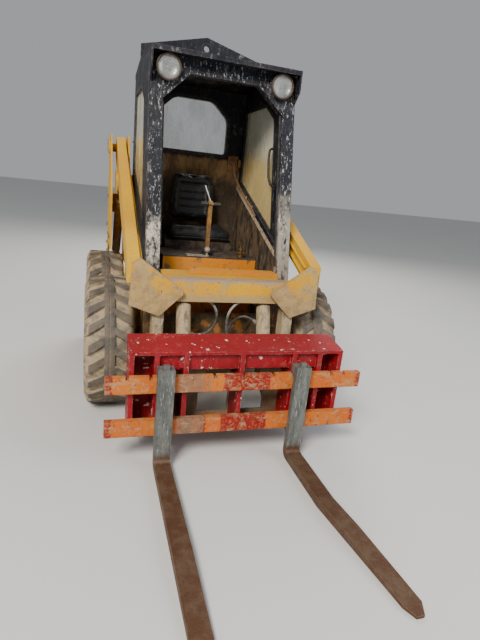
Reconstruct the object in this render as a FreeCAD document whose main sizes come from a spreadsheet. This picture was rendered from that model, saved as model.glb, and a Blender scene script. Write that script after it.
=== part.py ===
import FreeCAD, Part
import math
import os
import Sketcher
from FreeCAD import Placement, Rotation, Vector

# Skid steer loader with a pallet fork, in millimetres.
# The front is -Y and up is +Z. A person who looks at the machine's front has +X on
# the right, and left and right in the names below are meant in that view.
# Heights start at the ground, widths at the middle plane and lengths at the middle of
# the wheelbase. The origin is the middle of the footprint, frame_shift away from there.

doc = FreeCAD.newDocument("SkidSteerLoader")
sheet = doc.addObject("Spreadsheet::Sheet", "Sizes")

# alias, value, what it measures
SIZES = [
    # running gear
    ("wheelbase", 940, "front axle to rear axle"),
    ("tyre_radius", 387, "tyre outside radius over the lugs"),
    ("tyre_width", 271, "tyre width over the side walls"),
    ("overall_half", 762, "middle plane to the tyres' outer faces"),
    ("tyre_facets", 44, "flats round a tyre, two for each pair of lugs"),
    ("shoulder_across", 52, "bevel of the shoulders, towards the axle"),
    ("shoulder_along", 26, "bevel of the shoulders, along the tread"),
    ("wall_across", 77, "slope of the side walls to the bead, towards the axle"),
    ("wall_along", 43, "slope of the side walls to the bead, along the axle"),
    ("lug_height", 20, "depth of the gaps between shoulder lugs"),
    ("lug_gap_wide", 48, "gap between two shoulder lugs, round the tyre"),
    ("lug_band", 50, "half of the worn band that runs round between the lugs"),
    ("lug_slant", 18, "lag of a lug's outer end behind its inner end"),
    ("rim_facets", 16, "flats round a rim"),
    ("rim_radius", 209, "bead seat radius"),
    ("rim_half", 104, "middle of the rim to the inside of its flange"),
    ("rim_flange", 14, "height of the rim's flanges"),
    ("rim_wall", 10, "rim and disc plate"),
    ("disc_place", 43, "outer face of the disc from the middle of the rim"),
    ("hub_radius", 74, "wheel hub"),
    ("cap_radius", 34, "hub cap"),
    ("cap_depth", 22, "hub cap out of the disc"),
    ("hub_reach", 30, "hub seat past the tyre's inner face"),
    ("shaft_radius", 32, "axle shaft"),
    ("axle_tube_radius", 62, "fixed axle housing"),
    ("tube_facets", 12, "flats round a plain tube, boss or eye"),
    ("barrel_facets", 16, "flats round a cylinder's barrel"),
    ("fit_gap", 0.3, "clearance of a running fit"),
    # chassis
    ("chassis_half", 440, "middle plane to the chassis side"),
    ("chain_case", 85, "wall box of the chassis, with the chains inside"),
    ("belly_height", 200, "ground clearance"),
    ("chassis_top", 800, "top edge of the chassis side"),
    ("chassis_front", 680, "front plate ahead of the wheelbase middle"),
    ("chassis_rear", 1000, "rear edge behind the wheelbase middle"),
    ("belly_plate", 12, "belly and front plate thickness"),
    ("nose_run", 120, "sloped nose plate, front to back"),
    ("nose_rise", 130, "sloped nose plate, upwards"),
    ("tail_run", 110, "sloped tail plate, front to back"),
    ("front_port_low", 620, "ports in the front plate, lower edge"),
    ("front_port_high", 720, "ports in the front plate, upper edge"),
    ("front_port_out", 295, "ports in the front plate, outer edge"),
    ("front_port_in", 20, "half the post between the two ports"),
    ("tie_place", 182, "tie-down lug from the middle plane"),
    ("tie_high", 600, "tie-down lug, upper edge"),
    ("tie_tall", 76, "tie-down lug height"),
    ("tie_half", 52, "half the tie-down lug's width"),
    ("tie_hole", 13, "hole in the tie-down lug"),
    ("sill_reach", 40, "door sill ahead of the front plate"),
    ("sill_depth", 120, "door sill, front to back"),
    ("sill_height", 62, "door sill above the chassis top"),
    ("sill_half", 350, "half the door sill's width"),
    ("step_left", 200, "door step, left end from the middle plane"),
    ("step_right", 345, "door step, right end from the middle plane"),
    ("step_slant", 34, "slanted end of the door step"),
    ("step_plate", 18, "door step thickness"),
    # cab
    ("cab_half", 436, "middle plane to the cab's outer side"),
    ("cab_wall", 30, "cab side panel thickness"),
    ("post_wide", 77, "front post, side to side"),
    ("post_deep", 60, "front post, front to back"),
    ("post_lean", 13.34, "lean of the front posts from upright, degrees"),
    ("post_foot", 680, "post face ahead of the wheelbase middle, at the chassis top"),
    ("door_high", 1945, "top of the door opening"),
    ("door_chamfer_wide", 154, "corner gusset across the door opening"),
    ("door_chamfer_tall", 150, "corner gusset down the door opening"),
    ("cab_rear", 540, "outer face of the cab's rear wall"),
    ("rear_wall", 36, "rear wall thickness"),
    ("roof_plate", 25, "roof panel thickness"),
    ("roof_front_height", 2046, "roof top at its front edge"),
    ("roof_ridge_height", 2105, "roof top at the lifting plate"),
    ("roof_rear_height", 2062, "roof top at its rear edge"),
    ("visor_front", 490, "roof front edge ahead of the wheelbase middle"),
    ("cheek_front_tall", 116, "visor cheek at its front edge"),
    ("cheek_rear_tall", 176, "visor cheek at the post"),
    ("cheek_plate", 8, "visor cheek thickness"),
    ("roof_rear", 580, "roof rear edge behind the wheelbase middle"),
    ("ridge_place", 200, "lifting plate behind the wheelbase middle"),
    ("gable_end_height", 2190, "lifting plate top at its ends"),
    ("gable_top_height", 2298, "lifting plate top at the middle"),
    ("gable_plate", 14, "lifting plate thickness"),
    ("lift_eye_height", 2229, "centre of the lifting eye"),
    ("lift_eye_radius", 20, "lifting eye bore"),
    ("lift_eye_boss", 36, "lifting eye boss radius"),
    ("boss_rise", 4, "lifting eye boss proud of the plate"),
    ("pane", 6, "window pane thickness"),
    ("rear_window_half", 284, "half the rear window's width"),
    ("rear_window_low", 1575, "rear window, lower edge"),
    ("rear_window_high", 1970, "rear window, upper edge"),
    ("rear_window_flat_half", 150, "half the straight part of the upper edge"),
    ("rear_window_shoulder", 1845, "height where the chamfered corners start"),
    ("side_window_high", 1915, "side window, upper edge"),
    ("side_window_low", 1080, "side window, front lower corner"),
    ("side_window_rise", 1390, "side window, rear lower corner"),
    ("side_window_rear", 460, "side window, rear edge"),
    ("side_window_border", 195, "panel left between post and side window"),
    ("side_window_knee", 102, "chamfered front corner of the side window, down"),
    ("side_window_slope", 200, "chamfered front corner of the side window, along"),
    ("brace_tall", 74, "diagonal brace under the side window, up and down"),
    ("brace_thick", 14, "diagonal brace, out from the wall"),
    ("lamp_place", 339, "work lamp from the middle plane"),
    ("lamp_height", 1950, "work lamp centre"),
    ("lamp_face", 458, "work lamp face ahead of the wheelbase middle"),
    ("lamp_facets", 16, "flats round a work lamp"),
    ("lamp_radius", 70, "work lamp rim"),
    ("lamp_rim_wall", 7, "work lamp rim, side wall"),
    ("lamp_rim_deep", 16, "work lamp rim, front to back"),
    ("lamp_bowl", 58, "work lamp bowl radius"),
    ("lamp_depth", 32, "work lamp, front to back"),
    ("lens_thickness", 10, "work lamp lens seat"),
    ("lamp_foot", 16, "half the width of the work lamp's foot"),
    # seat and controls
    ("cushion_half", 235, "half the seat cushion's width"),
    ("cushion_front", 90, "cushion front edge ahead of the wheelbase middle"),
    ("cushion_deep", 420, "seat cushion, front to back"),
    ("cushion_low", 965, "underside of the seat cushion"),
    ("cushion_tall", 95, "seat cushion thickness"),
    ("cushion_corner", 30, "bevelled corners of the cushion"),
    ("backrest_half", 190, "half the backrest's width"),
    ("backrest_top", 1440, "top of the backrest"),
    ("backrest_thick", 95, "backrest thickness"),
    ("backrest_corner", 45, "bevelled upper corners of the backrest"),
    ("backrest_in", 70, "backrest face ahead of the cushion's rear edge"),
    ("backrest_rise", 6, "backrest over the cushion, so that the cushion stays clear"),
    ("bracket_half", 60, "half the width of the backrest's bracket"),
    ("bracket_in", 2, "backrest bracket behind the cushion"),
    ("bracket_plate", 18, "backrest bracket thickness"),
    ("backrest_lean", 10, "backrest lean, degrees"),
    ("seat_box_half", 250, "half the width of the seat box"),
    ("seat_box_in", 20, "seat box behind the cushion's front edge"),
    ("floor_height", 500, "footwell floor"),
    ("console_front", 400, "control console face ahead of the wheelbase middle"),
    ("console_half", 305, "half the control console's width"),
    ("console_top", 912, "control console top"),
    ("console_plate", 14, "console and shelf plate"),
    ("lever_front", 275, "control lever ahead of the wheelbase middle"),
    ("lever_thick", 27, "control lever bar"),
    ("lever_top", 1256, "top of the control lever's bar"),
    ("lever_rod", 6, "control lever rod radius"),
    ("lever_rod_top", 1354, "top of the control lever's rod"),
    ("lever_rod_lean", 46, "sideways lean of the rod over its length"),
    ("grip_height", 1238, "cross grip on the lever"),
    ("grip_radius", 12, "cross grip radius"),
    ("grip_long", 62, "cross grip, from the lever to its end"),
    # engine bay
    ("engine_half", 230, "half the engine's width"),
    ("engine_gap", 40, "engine from the cab's rear wall"),
    ("engine_rear_gap", 60, "engine from the chassis rear"),
    ("engine_rise", 120, "engine above the chassis top"),
    ("hood_half", 455, "half the hood's width"),
    ("hood_gap", 8, "hood from the cab"),
    ("hood_front_height", 1360, "hood top at the cab"),
    ("hood_rear_height", 1240, "hood top at the rear"),
    ("hood_plate", 28, "hood thickness"),
    ("hood_slots", 5, "air slots across the hood"),
    ("hood_slot", 26, "air slot, front to back"),
    ("hood_slot_pitch", 60, "pitch of the air slots"),
    ("hood_slot_start", 90, "first air slot from the hood's front edge"),
    ("hood_slot_margin", 110, "hood beside the air slots"),
    ("door_rear", 1050, "rear face of the engine door"),
    ("door_thick", 40, "engine door thickness"),
    ("door_half", 350, "half the engine door's width"),
    ("door_low", 480, "engine door, lower edge"),
    ("door_drop", 12, "engine door under the hood's top"),
    ("door_margin", 70, "engine door round its louvres"),
    ("slot_count", 7, "louvre slots in the engine door"),
    ("corner_post", 70, "rear corner post, front to back"),
    ("post_gap", 6, "rear corner post from the engine door"),
    ("post_drop", 60, "rear corner post under the hood's top"),
    ("bumper_rear", 1100, "rear face of the bumper"),
    ("bumper_low", 300, "bumper, lower edge"),
    ("bumper_high", 450, "bumper, upper edge"),
    ("tow_ear", 40, "tow ears behind the bumper bar"),
    ("tow_ear_half", 60, "half the tow ears' width"),
    ("tow_ear_plate", 16, "tow ear thickness"),
    ("tow_ear_in", 30, "tow ears from the bumper's edges"),
    ("tow_bore_radius", 16, "tow pin bore"),
    # hinges of the hood and the engine door
    ("hinge_pin", 7, "hinge pin radius"),
    ("hinge_tube", 12, "hinge knuckle radius"),
    ("hinge_play", 0.4, "play of a hinge beside its running fit"),
    ("hinge_long", 60, "hinge knuckle length"),
    ("hinge_ear", 10, "hinge ear thickness"),
    ("hinge_stand", 2, "hinge knuckle from the panel"),
    ("hood_hinge_place", 273, "hood hinge from the middle plane"),
    ("strap_long", 80, "hood hinge strap"),
    ("door_hinge_in", 60, "lower door hinge above the chassis top"),
    ("door_hinge_drop", 110, "upper door hinge under the hood's top"),
    # towers
    ("tower_outer", 600, "outer face of the tower's outer plate"),
    ("tower_inner", 462, "inner face of the tower's inner plate"),
    ("tower_plate", 12, "tower plate thickness"),
    ("tower_front", 400, "tower foot ahead of the lift pivot"),
    ("tower_rise", 20, "tower's lower edge above the chassis top"),
    ("tower_foot", 120, "tower foot down the chassis side"),
    ("tower_waist", 400, "height of the tower's straight sides"),
    ("tower_cap", 90, "tower above the lift pivot"),
    ("tower_rear", 60, "tower behind the lift cylinder's base pin"),
    ("pivot_back", 700, "lift pivot behind the wheelbase middle"),
    ("pivot_height", 1550, "lift pivot above the ground"),
    ("pivot_pin", 30, "lift pivot pin radius"),
    ("pivot_boss", 50, "lift pivot boss radius"),
    ("pivot_boss_rise", 10, "lift pivot boss out of the tower"),
    # lift arms
    ("arm_outer", 553, "outer face of a lift arm"),
    ("arm_inner", 487, "inner face of a lift arm"),
    ("arm_front", 855, "arm front end ahead of the wheelbase middle"),
    ("arm_front_height", 895, "middle of the arm at its front end"),
    ("arm_rear_tall", 165, "lift arm depth at the pivot"),
    ("arm_front_tall", 130, "lift arm depth at its front end"),
    ("arm_end_run", 60, "start of the arm's rounded end behind the pivot"),
    ("arm_end_drop", 20, "bevel of the arm's rounded end"),
    ("cross_low", 735, "cross member, lower edge"),
    ("cross_high", 860, "cross member, upper edge"),
    ("cross_depth", 80, "cross member, front to back"),
    ("cross_plate", 12, "cross member plate thickness"),
    ("front_plate", 30, "front plate thickness"),
    ("plate_inner_rise", 107, "front plate over the cross member, inner edge"),
    ("plate_outer_rise", 78, "front plate over the cross member, outer edge"),
    ("plate_bevel", 27, "slanted outer edge of the front plate, at its top"),
    ("plate_hip_in", 13, "slanted outer edge of the front plate, at its foot"),
    ("plate_hip", 18, "front plate under the cross member, outer edge"),
    ("plate_drop", 77, "front plate under the cross member, at the leg"),
    ("plate_throat", 46, "inner corner of the front plate over the cross member's foot"),
    ("leg_place", 380, "middle of a leg from the middle plane"),
    ("leg_wide", 64, "leg, side to side"),
    ("leg_deep", 92, "leg, front to back"),
    ("leg_round", 20, "rounded front edges of a leg"),
    ("leg_shoulder", 84, "leg under the cross member, down to its step"),
    ("leg_step", 46, "height of the step that brings a leg forward"),
    ("leg_foot", 48, "leg under its pin"),
    ("leg_heel", 10, "leg under its pin, at the rear"),
    ("leg_pin_front", 850, "coupler pivot ahead of the wheelbase middle"),
    ("leg_pin_height", 230, "coupler pivot above the ground"),
    ("leg_pin", 20, "coupler pivot pin radius"),
    # cylinders
    ("tilt_place", 236.5, "tilt cylinder from the middle plane"),
    ("tilt_top_front", 795, "tilt cylinder top pin ahead of the wheelbase middle"),
    ("tilt_top_drop", 85, "tilt cylinder top pin under the cross member's top"),
    ("tilt_eye_front", 917, "tilt rod eye ahead of the wheelbase middle"),
    ("tilt_eye_height", 360, "tilt rod eye above the ground"),
    ("tilt_barrel", 42, "tilt cylinder barrel radius"),
    ("tilt_rod", 16, "tilt cylinder rod radius"),
    ("tilt_share", 0.75, "share of the pin distance that the tilt barrel takes"),
    ("tilt_rod_back", 45, "free run behind the tilt rods at rest"),
    ("lift_base_back", 870, "lift cylinder base pin behind the wheelbase middle"),
    ("lift_base_height", 680, "lift cylinder base pin above the ground"),
    ("lift_eye_back", 378, "lift rod eye behind the wheelbase middle"),
    ("lift_eye_drop", 154.4, "lift rod eye under the middle line of the arm"),
    ("lift_barrel", 35, "lift cylinder barrel radius"),
    ("lift_rod", 16, "lift cylinder rod radius"),
    ("lift_share", 0.86, "share of the pin distance that the lift barrel takes"),
    ("lift_rod_back", 6, "free run behind the lift rods at rest"),
    ("eye_radius", 30, "cylinder end eyes"),
    ("eye_bore", 15, "bore of the cylinder end eyes"),
    ("eye_half", 18, "half the width of the cylinder end eyes"),
    ("tongue_half", 20, "half the depth of the tongue behind a barrel"),
    ("lug_gap", 5, "gap between an eye and the lugs beside it"),
    ("lug_plate", 12, "lug thickness"),
    ("barrel_head", 75, "pin to the closed end of a barrel's bore"),
    ("barrel_cap", 14, "closed end of a barrel"),
    # coupler and fork frame
    ("coupler_front", 1105, "front face of the coupler plates"),
    ("coupler_half", 440, "half the coupler's width"),
    ("coupler_top", 520, "top edge of the coupler plates"),
    ("coupler_low", 130, "lower edge of the coupler plates"),
    ("coupler_plate", 20, "coupler plate thickness"),
    ("port_low", 195, "ports in the coupler, lower edge"),
    ("port_high", 385, "ports in the coupler, upper edge"),
    ("port_in", 18, "half the post between the coupler's ports"),
    ("port_out", 185, "ports in the coupler, outer edge"),
    ("slot_low", 408, "slots over the ports, lower edge"),
    ("slot_high", 438, "slots over the ports, upper edge"),
    ("slot_in", 40, "slots over the ports, inner end"),
    ("slot_out", 148, "slots over the ports, outer end"),
    ("ear_plate", 14, "coupler ear thickness"),
    ("ear_gap", 6, "coupler ear from the leg"),
    ("ear_reach", 42, "coupler ear round its pin"),
    ("rod_lug_rise", 70, "tilt rod lug over its eye, at the coupler"),
    ("rod_lug_run", 50, "flat top of a tilt rod lug ahead of its eye"),
    ("frame_half_wide", 556, "half the fork frame's width"),
    ("frame_front", 1240, "front face of the fork frame"),
    ("frame_top", 619, "fork frame top edge at its rear"),
    ("frame_low", 150, "fork frame lower edge"),
    ("frame_plate", 16, "fork frame plate thickness"),
    ("frame_rib", 24, "fork frame rib thickness"),
    ("top_back", 50, "top plate behind the coupler's front"),
    ("top_drop", 31, "slope of the top plate down to its front edge"),
    ("web_in", 22, "shaded web behind the top plate's front edge"),
    ("web_low", 490, "shaded web, lower edge"),
    ("latch_lug", 30, "small latch lugs under the top plate"),
    ("latch_place", 305, "small latch lug from the middle plane"),
    ("latch_rise", 30, "small latch lugs above the upper bar"),
    ("bar_front", 1270, "front face of the carriage bars"),
    ("bar_half", 664, "half the carriage bars' width"),
    ("bar_thick", 30, "carriage bar thickness"),
    ("bar_top", 476, "upper carriage bar, top edge"),
    ("bar_low", 167, "lower carriage bar, lower edge"),
    ("bar_tall", 84, "carriage bar height"),
    ("notch_wide", 16, "latch notch width"),
    ("notch_deep", 14, "latch notch depth"),
    ("fork_left_place", -388, "left fork from the middle plane"),
    ("fork_right_place", 310, "right fork from the middle plane"),
    ("fork_wide", 80, "fork width"),
    ("fork_thick", 38, "fork thickness at the heel"),
    ("fork_tip_thick", 12, "fork thickness at the tip"),
    ("fork_taper", 420, "tapered end of the blade"),
    ("fork_tip_reach", 2305, "fork tips ahead of the wheelbase middle"),
    ("fork_knee", 1700, "place where the right fork starts to bend outwards"),
    ("fork_splay", 67, "tip of the bent right fork out of its line"),
    ("fork_tip_side", 24, "bevelled corners of the tip, across"),
    ("fork_tip_long", 50, "bevelled corners of the tip, along"),
    ("fork_ground", 2, "fork underside above the ground"),
    ("heel_outer", 45, "outer bend at the fork's heel"),
    ("heel_inner", 18, "inner bend at the fork's heel"),
    ("hook_rise", 45, "shank above the upper bar"),
    ("hook_drop", 24, "lower hook under the lower bar"),
    ("knob_half", 13, "half the width of the latch knob"),
    ("knob_rise", 22, "latch knob above the shank"),
    ("knob_in", 8, "latch knob behind the shank's face"),
    ("pipe_radius", 9, "steel pipe"),
    ("pipe_start", 60, "front end of the pipes behind the arms' front end"),
    ("pipe_rear", 300, "rear end of the pipes behind the wheelbase middle"),
    ("pipe_spread", 24, "pipes above and below the arm's middle line"),
]

# middle of each latch notch in the upper carriage bar, from the middle plane
NOTCHES = (-563, -454, -144, 8, 164, 273, 491, 563)

# middle of each rib of the fork frame between its end plates
RIBS = (-426, -285, 0, 280, 426)


class Size:
    """A number together with the expression that ties it to the sheet."""

    def __init__(self, value, text):
        self.value = float(value)
        self.text = text

    def __add__(self, other):
        other = as_size(other)
        return Size(self.value + other.value, f"({self.text} + {other.text})")

    def __sub__(self, other):
        other = as_size(other)
        return Size(self.value - other.value, f"({self.text} - {other.text})")

    def __mul__(self, other):
        other = as_size(other)
        return Size(self.value * other.value, f"({self.text} * {other.text})")

    def __truediv__(self, other):
        other = as_size(other)
        return Size(self.value / other.value, f"({self.text} / {other.text})")

    def __neg__(self):
        return Size(-self.value, f"(0 - {self.text})")

    def __radd__(self, other):
        return as_size(other) + self

    def __rsub__(self, other):
        return as_size(other) - self

    def __rmul__(self, other):
        return as_size(other) * self


def as_size(number):
    """A plain number as a Size, so that both can be mixed in a formula."""
    if isinstance(number, Size):
        return number
    if number < 0:
        return Size(number, f"(0 - {-number:.10g})")
    return Size(number, f"{number:.10g}")


def sine(angle):
    """Sine of an angle in degrees."""
    return Size(math.sin(math.radians(angle.value)), f"sin({angle.text})")


def cosine(angle):
    """Cosine of an angle in degrees."""
    return Size(math.cos(math.radians(angle.value)), f"cos({angle.text})")


def slope_angle(rise, run):
    """Angle in degrees of a line that goes up by rise over run."""
    number = math.degrees(math.atan2(rise.value, run.value))
    return Size(number, f"(atan2({rise.text}; {run.text}) / 1 deg)")


def distance(across, along):
    """Length of the straight line between two points."""
    number = math.hypot(across.value, along.value)
    return Size(number, f"sqrt({across.text}^2 + {along.text}^2)")


class Dimensions:
    """The sheet's cells by name."""


dim = Dimensions()
for row, (alias, value, meaning) in enumerate(SIZES, start=1):
    sheet.set(f"A{row}", f"{value}")
    sheet.set(f"B{row}", meaning)
    sheet.setAlias(f"A{row}", alias)
    setattr(dim, alias, Size(value, f"Sizes.{alias}"))
doc.recompute()

# The footprint's middle becomes the origin, so every piece moves back by this much.
frame_shift = (dim.fork_tip_reach - dim.bumper_rear) / 2

PIECES = []


def tie(thing, path, size):
    """Bind a property to the sheet through the size's expression."""
    size = as_size(size)
    thing.setExpression(path, size.text)


def place(thing, across=0, along=0, up=0, turn=None):
    """Put a finished piece in the machine, turned about X when it leans."""
    across, along, up = as_size(across), as_size(along), as_size(up)
    along = along + frame_shift
    rotation = Rotation()
    if turn is not None:
        rotation = Rotation(Vector(1, 0, 0), turn.value)
    thing.Placement = Placement(Vector(across.value, along.value, up.value), rotation)
    tie(thing, "Placement.Base.x", across)
    tie(thing, "Placement.Base.y", along)
    tie(thing, "Placement.Base.z", up)
    if turn is not None:
        tie(thing, "Placement.Rotation.Angle", turn)


def new_body(label):
    """An empty body that will be one sub-part."""
    body = doc.addObject("PartDesign::Body", label)
    body.Label = label
    body.AllowCompound = True
    PIECES.append(body)
    return body


# plane role, sign that turns a coordinate on the plane's normal into an offset
PLANES = {"X": ("YZ_Plane", 1), "Y": ("XZ_Plane", -1), "Z": ("XY_Plane", 1)}


def new_sketch(body, normal, offset):
    """A sketch square to an axis, at a coordinate along that axis."""
    role, sign = PLANES[normal]
    support = [item for item in body.Origin.OriginFeatures if item.Role == role][0]
    sketch = body.newObject("Sketcher::SketchObject", f"{body.Name}_outline")
    sketch.AttachmentSupport = [(support, "")]
    sketch.MapMode = "FlatFace"
    offset = as_size(offset) * sign
    sketch.AttachmentOffset = Placement(Vector(0, 0, offset.value), Rotation())
    tie(sketch, "AttachmentOffset.Base.z", offset)
    return sketch


def draw_polygon(sketch, points):
    """A closed outline, every corner held by two bound distances from the origin."""
    points = [(as_size(across), as_size(up)) for across, up in points]
    first = sketch.GeometryCount
    flat = [Vector(across.value, up.value, 0) for across, up in points]
    ends = flat[1:] + flat[:1]
    lines = [Part.LineSegment(start, end) for start, end in zip(flat, ends)]
    sketch.addGeometry(lines, False)
    joins = []
    for index in range(len(points)):
        following = first + (index + 1) % len(points)
        joins.append(Sketcher.Constraint("Coincident", first + index, 2, following, 1))
    sketch.addConstraint(joins)
    holds = []
    sizes = []
    for index, corner in enumerate(points):
        for kind, size in zip(("DistanceX", "DistanceY"), corner):
            holds.append(Sketcher.Constraint(kind, -1, 1, first + index, 1, size.value))
            sizes.append(size)
    for number, size in zip(sketch.addConstraint(holds), sizes):
        tie(sketch, f"Constraints[{number}]", size)


def draw_circle(sketch, centre, radius):
    """A circle with its centre and radius bound."""
    across, up, radius = as_size(centre[0]), as_size(centre[1]), as_size(radius)
    middle = Vector(across.value, up.value, 0)
    item = sketch.addGeometry(Part.Circle(middle, Vector(0, 0, 1), radius.value), False)
    number = sketch.addConstraint(Sketcher.Constraint("Radius", item, radius.value))
    tie(sketch, f"Constraints[{number}]", radius)
    for kind, size in (("DistanceX", across), ("DistanceY", up)):
        number = sketch.addConstraint(Sketcher.Constraint(kind, -1, 1, item, 3, size.value))
        tie(sketch, f"Constraints[{number}]", size)


def extrude(body, normal, low, high, shapes, cut=False):
    """Pad or pocket outlines from low to high along an axis.

    A shape is a list of corners, or (centre, radius) for a circle.
    """
    low, high = as_size(low), as_size(high)
    start = high if normal == "Y" else low
    sketch = new_sketch(body, normal, start)
    for shape in shapes:
        if len(shape) == 2:
            draw_circle(sketch, shape[0], shape[1])
        else:
            draw_polygon(sketch, shape)
    kind = "Pocket" if cut else "Pad"
    feature = body.newObject(f"PartDesign::{kind}", f"{body.Name}_{kind.lower()}")
    feature.Profile = sketch
    feature.Length = high.value - low.value
    tie(feature, "Length", high - low)
    # A pad grows along the sketch's normal, a pocket against it.
    feature.Reversed = cut
    sketch.Visibility = False
    doc.recompute()
    return feature


def box_outline(across_low, across_high, up_low, up_high):
    """Corners of a rectangle."""
    return [
        (across_low, up_low),
        (across_high, up_low),
        (across_high, up_high),
        (across_low, up_high),
    ]


def facets(centre, radius, count, shift=0.5):
    """Corners of a regular polygon that stands for a circle.

    The shift is in steps round it: a half puts flats at the sides, zero corners.
    """
    corners = []
    for index in range(int(count.value)):
        angle = 2 * math.pi * (index + shift) / count.value
        across = centre[0] + radius * math.cos(angle)
        up = centre[1] + radius * math.sin(angle)
        corners.append((across, up))
    return corners


def flats_at(radius, count):
    """Corner radius of a polygon whose flats are this far from its middle."""
    return radius / math.cos(math.pi / count.value)


def bore_at(centre, radius):
    """Outline of a bore whose flats clear a round pin of this radius."""
    corner = flats_at(radius + dim.fit_gap, dim.tube_facets)
    return facets(centre, corner, dim.tube_facets)


def mirrored(points):
    """The same outline on the other side of the middle plane."""
    return [(-as_size(across), up) for across, up in reversed(points)]


def span_on(side, low, high):
    """A range from the middle plane, on one side of the machine."""
    if side < 0:
        return -as_size(high), -as_size(low)
    return as_size(low), as_size(high)


def rim_edges(shape, low, high):
    """Names of the edges square to Z whose middle is between two distances from Z."""
    names = []
    for number, edge in enumerate(shape.Edges, start=1):
        ends = [vertex.Point for vertex in edge.Vertexes]
        if len(ends) != 2 or abs(ends[0].z - ends[1].z) > 0.01:
            continue
        middle = (ends[0] + ends[1]) / 2
        if low.value < math.hypot(middle.x, middle.y) < high.value:
            names.append(f"Edge{number}")
    return names


def bevel(body, names, along, across):
    """Bevel edges by one distance on the end face and another down the side."""
    base = body.Tip
    feature = body.newObject("PartDesign::Chamfer", f"{body.Name}_bevel")
    feature.Base = (base, names)
    feature.ChamferType = "Two distances"
    # tie each distance after the type, which clears them
    feature.Size = along.value
    feature.Size2 = across.value
    tie(feature, "Size", along)
    tie(feature, "Size2", across)
    doc.recompute()
    return feature


def round_corners(body, normal, corners, radius):
    """Round the edges that run along an axis through the given corners."""
    radius = as_size(radius)
    places = {"X": (1, 2), "Y": (0, 2), "Z": (0, 1)}[normal]
    along = {"X": 0, "Y": 1, "Z": 2}[normal]
    base = body.Tip
    names = []
    for number, edge in enumerate(base.Shape.Edges, start=1):
        ends = [vertex.Point for vertex in edge.Vertexes]
        if len(ends) != 2 or abs(ends[0][along] - ends[1][along]) < 0.01:
            continue
        for across, up in corners:
            spot = (as_size(across).value, as_size(up).value)
            near = [abs(end[places[k]] - spot[k]) < 0.01 for end in ends for k in (0, 1)]
            if all(near):
                names.append(f"Edge{number}")
    feature = body.newObject("PartDesign::Fillet", f"{body.Name}_fillet")
    feature.Base = (base, names)
    feature.Radius = radius.value
    tie(feature, "Radius", radius)
    doc.recompute()
    return feature


SIDES = (-1, 1)


def lug_places(middle):
    """Low faces of the two lugs that stand beside a cylinder's eye."""
    reach = dim.eye_half + dim.lug_gap
    return middle - reach - dim.lug_plate, middle + reach


# Heights and places that several pieces share.
axle_height = dim.tyre_radius
front_axle = -dim.wheelbase / 2
rear_axle = dim.wheelbase / 2
tyre_middle = dim.overall_half - dim.tyre_width / 2
tyre_inner = dim.overall_half - dim.tyre_width
hub_seat = tyre_inner + dim.hub_reach
case_inner = dim.chassis_half - dim.chain_case
nose_low = dim.belly_height + dim.nose_rise
post_inner = dim.cab_half - dim.post_wide
lift_place = dim.arm_outer - dim.eye_half - dim.lug_gap
door_hinge_heights = (dim.chassis_top + dim.door_hinge_in, dim.hood_rear_height - dim.door_hinge_drop)
hinge_off = dim.hinge_tube + dim.hinge_stand
hood_hinge = (dim.cab_rear + dim.hinge_tube + 4, dim.hood_front_height + hinge_off)
door_hinge = (-dim.door_half - hinge_off, dim.door_rear - hinge_off)
knuckle_bore = dim.hinge_pin + dim.hinge_play
base_pin = dim.eye_bore - dim.fit_gap
lean_rate = sine(dim.post_lean) / cosine(dim.post_lean)
arm_slope = (dim.pivot_height - dim.arm_front_height) / (dim.pivot_back + dim.arm_front)
tilt_top = (-dim.tilt_top_front, dim.cross_high - dim.tilt_top_drop)
tilt_eye = (-dim.tilt_eye_front, dim.tilt_eye_height)
lift_base = (dim.lift_base_back, dim.lift_base_height)
lift_eye_up = dim.arm_front_height + (dim.arm_front + dim.lift_eye_back) * arm_slope
lift_eye = (dim.lift_eye_back, lift_eye_up - dim.lift_eye_drop)
leg_joint = (-dim.leg_pin_front, dim.leg_pin_height)
pivot = (dim.pivot_back, dim.pivot_height)


def post_face(up):
    """Place of the post's front face at a height."""
    return -dim.post_foot + (up - dim.chassis_top) * lean_rate


def post_back(up):
    """Place of the post's rear face at a height."""
    return post_face(up) + dim.post_deep / cosine(dim.post_lean)


def roof_under(along):
    """Height of the roof's underside at a place ahead of the ridge."""
    front_run = dim.visor_front + dim.ridge_place
    rise = dim.roof_ridge_height - dim.roof_front_height
    return (
        dim.roof_front_height
        + (along + dim.visor_front) * rise / front_run
        - dim.roof_plate
    )


def roof_under_rear(along):
    """Height of the roof's underside at a place behind the ridge."""
    rear_run = dim.roof_rear - dim.ridge_place
    drop = dim.roof_ridge_height - dim.roof_rear_height
    return dim.roof_ridge_height - (along - dim.ridge_place) * drop / rear_run - dim.roof_plate


def under_roof(behind):
    """Point where a line behind the post's face, and parallel to it, meets the roof."""
    front_run = dim.visor_front + dim.ridge_place
    slope = (dim.roof_ridge_height - dim.roof_front_height) / front_run
    start = dim.visor_front - dim.post_foot + behind - dim.chassis_top * lean_rate
    low = dim.roof_front_height - dim.roof_plate
    up = (low + start * slope) / (1 - lean_rate * slope)
    return post_face(up) + behind, up


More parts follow.
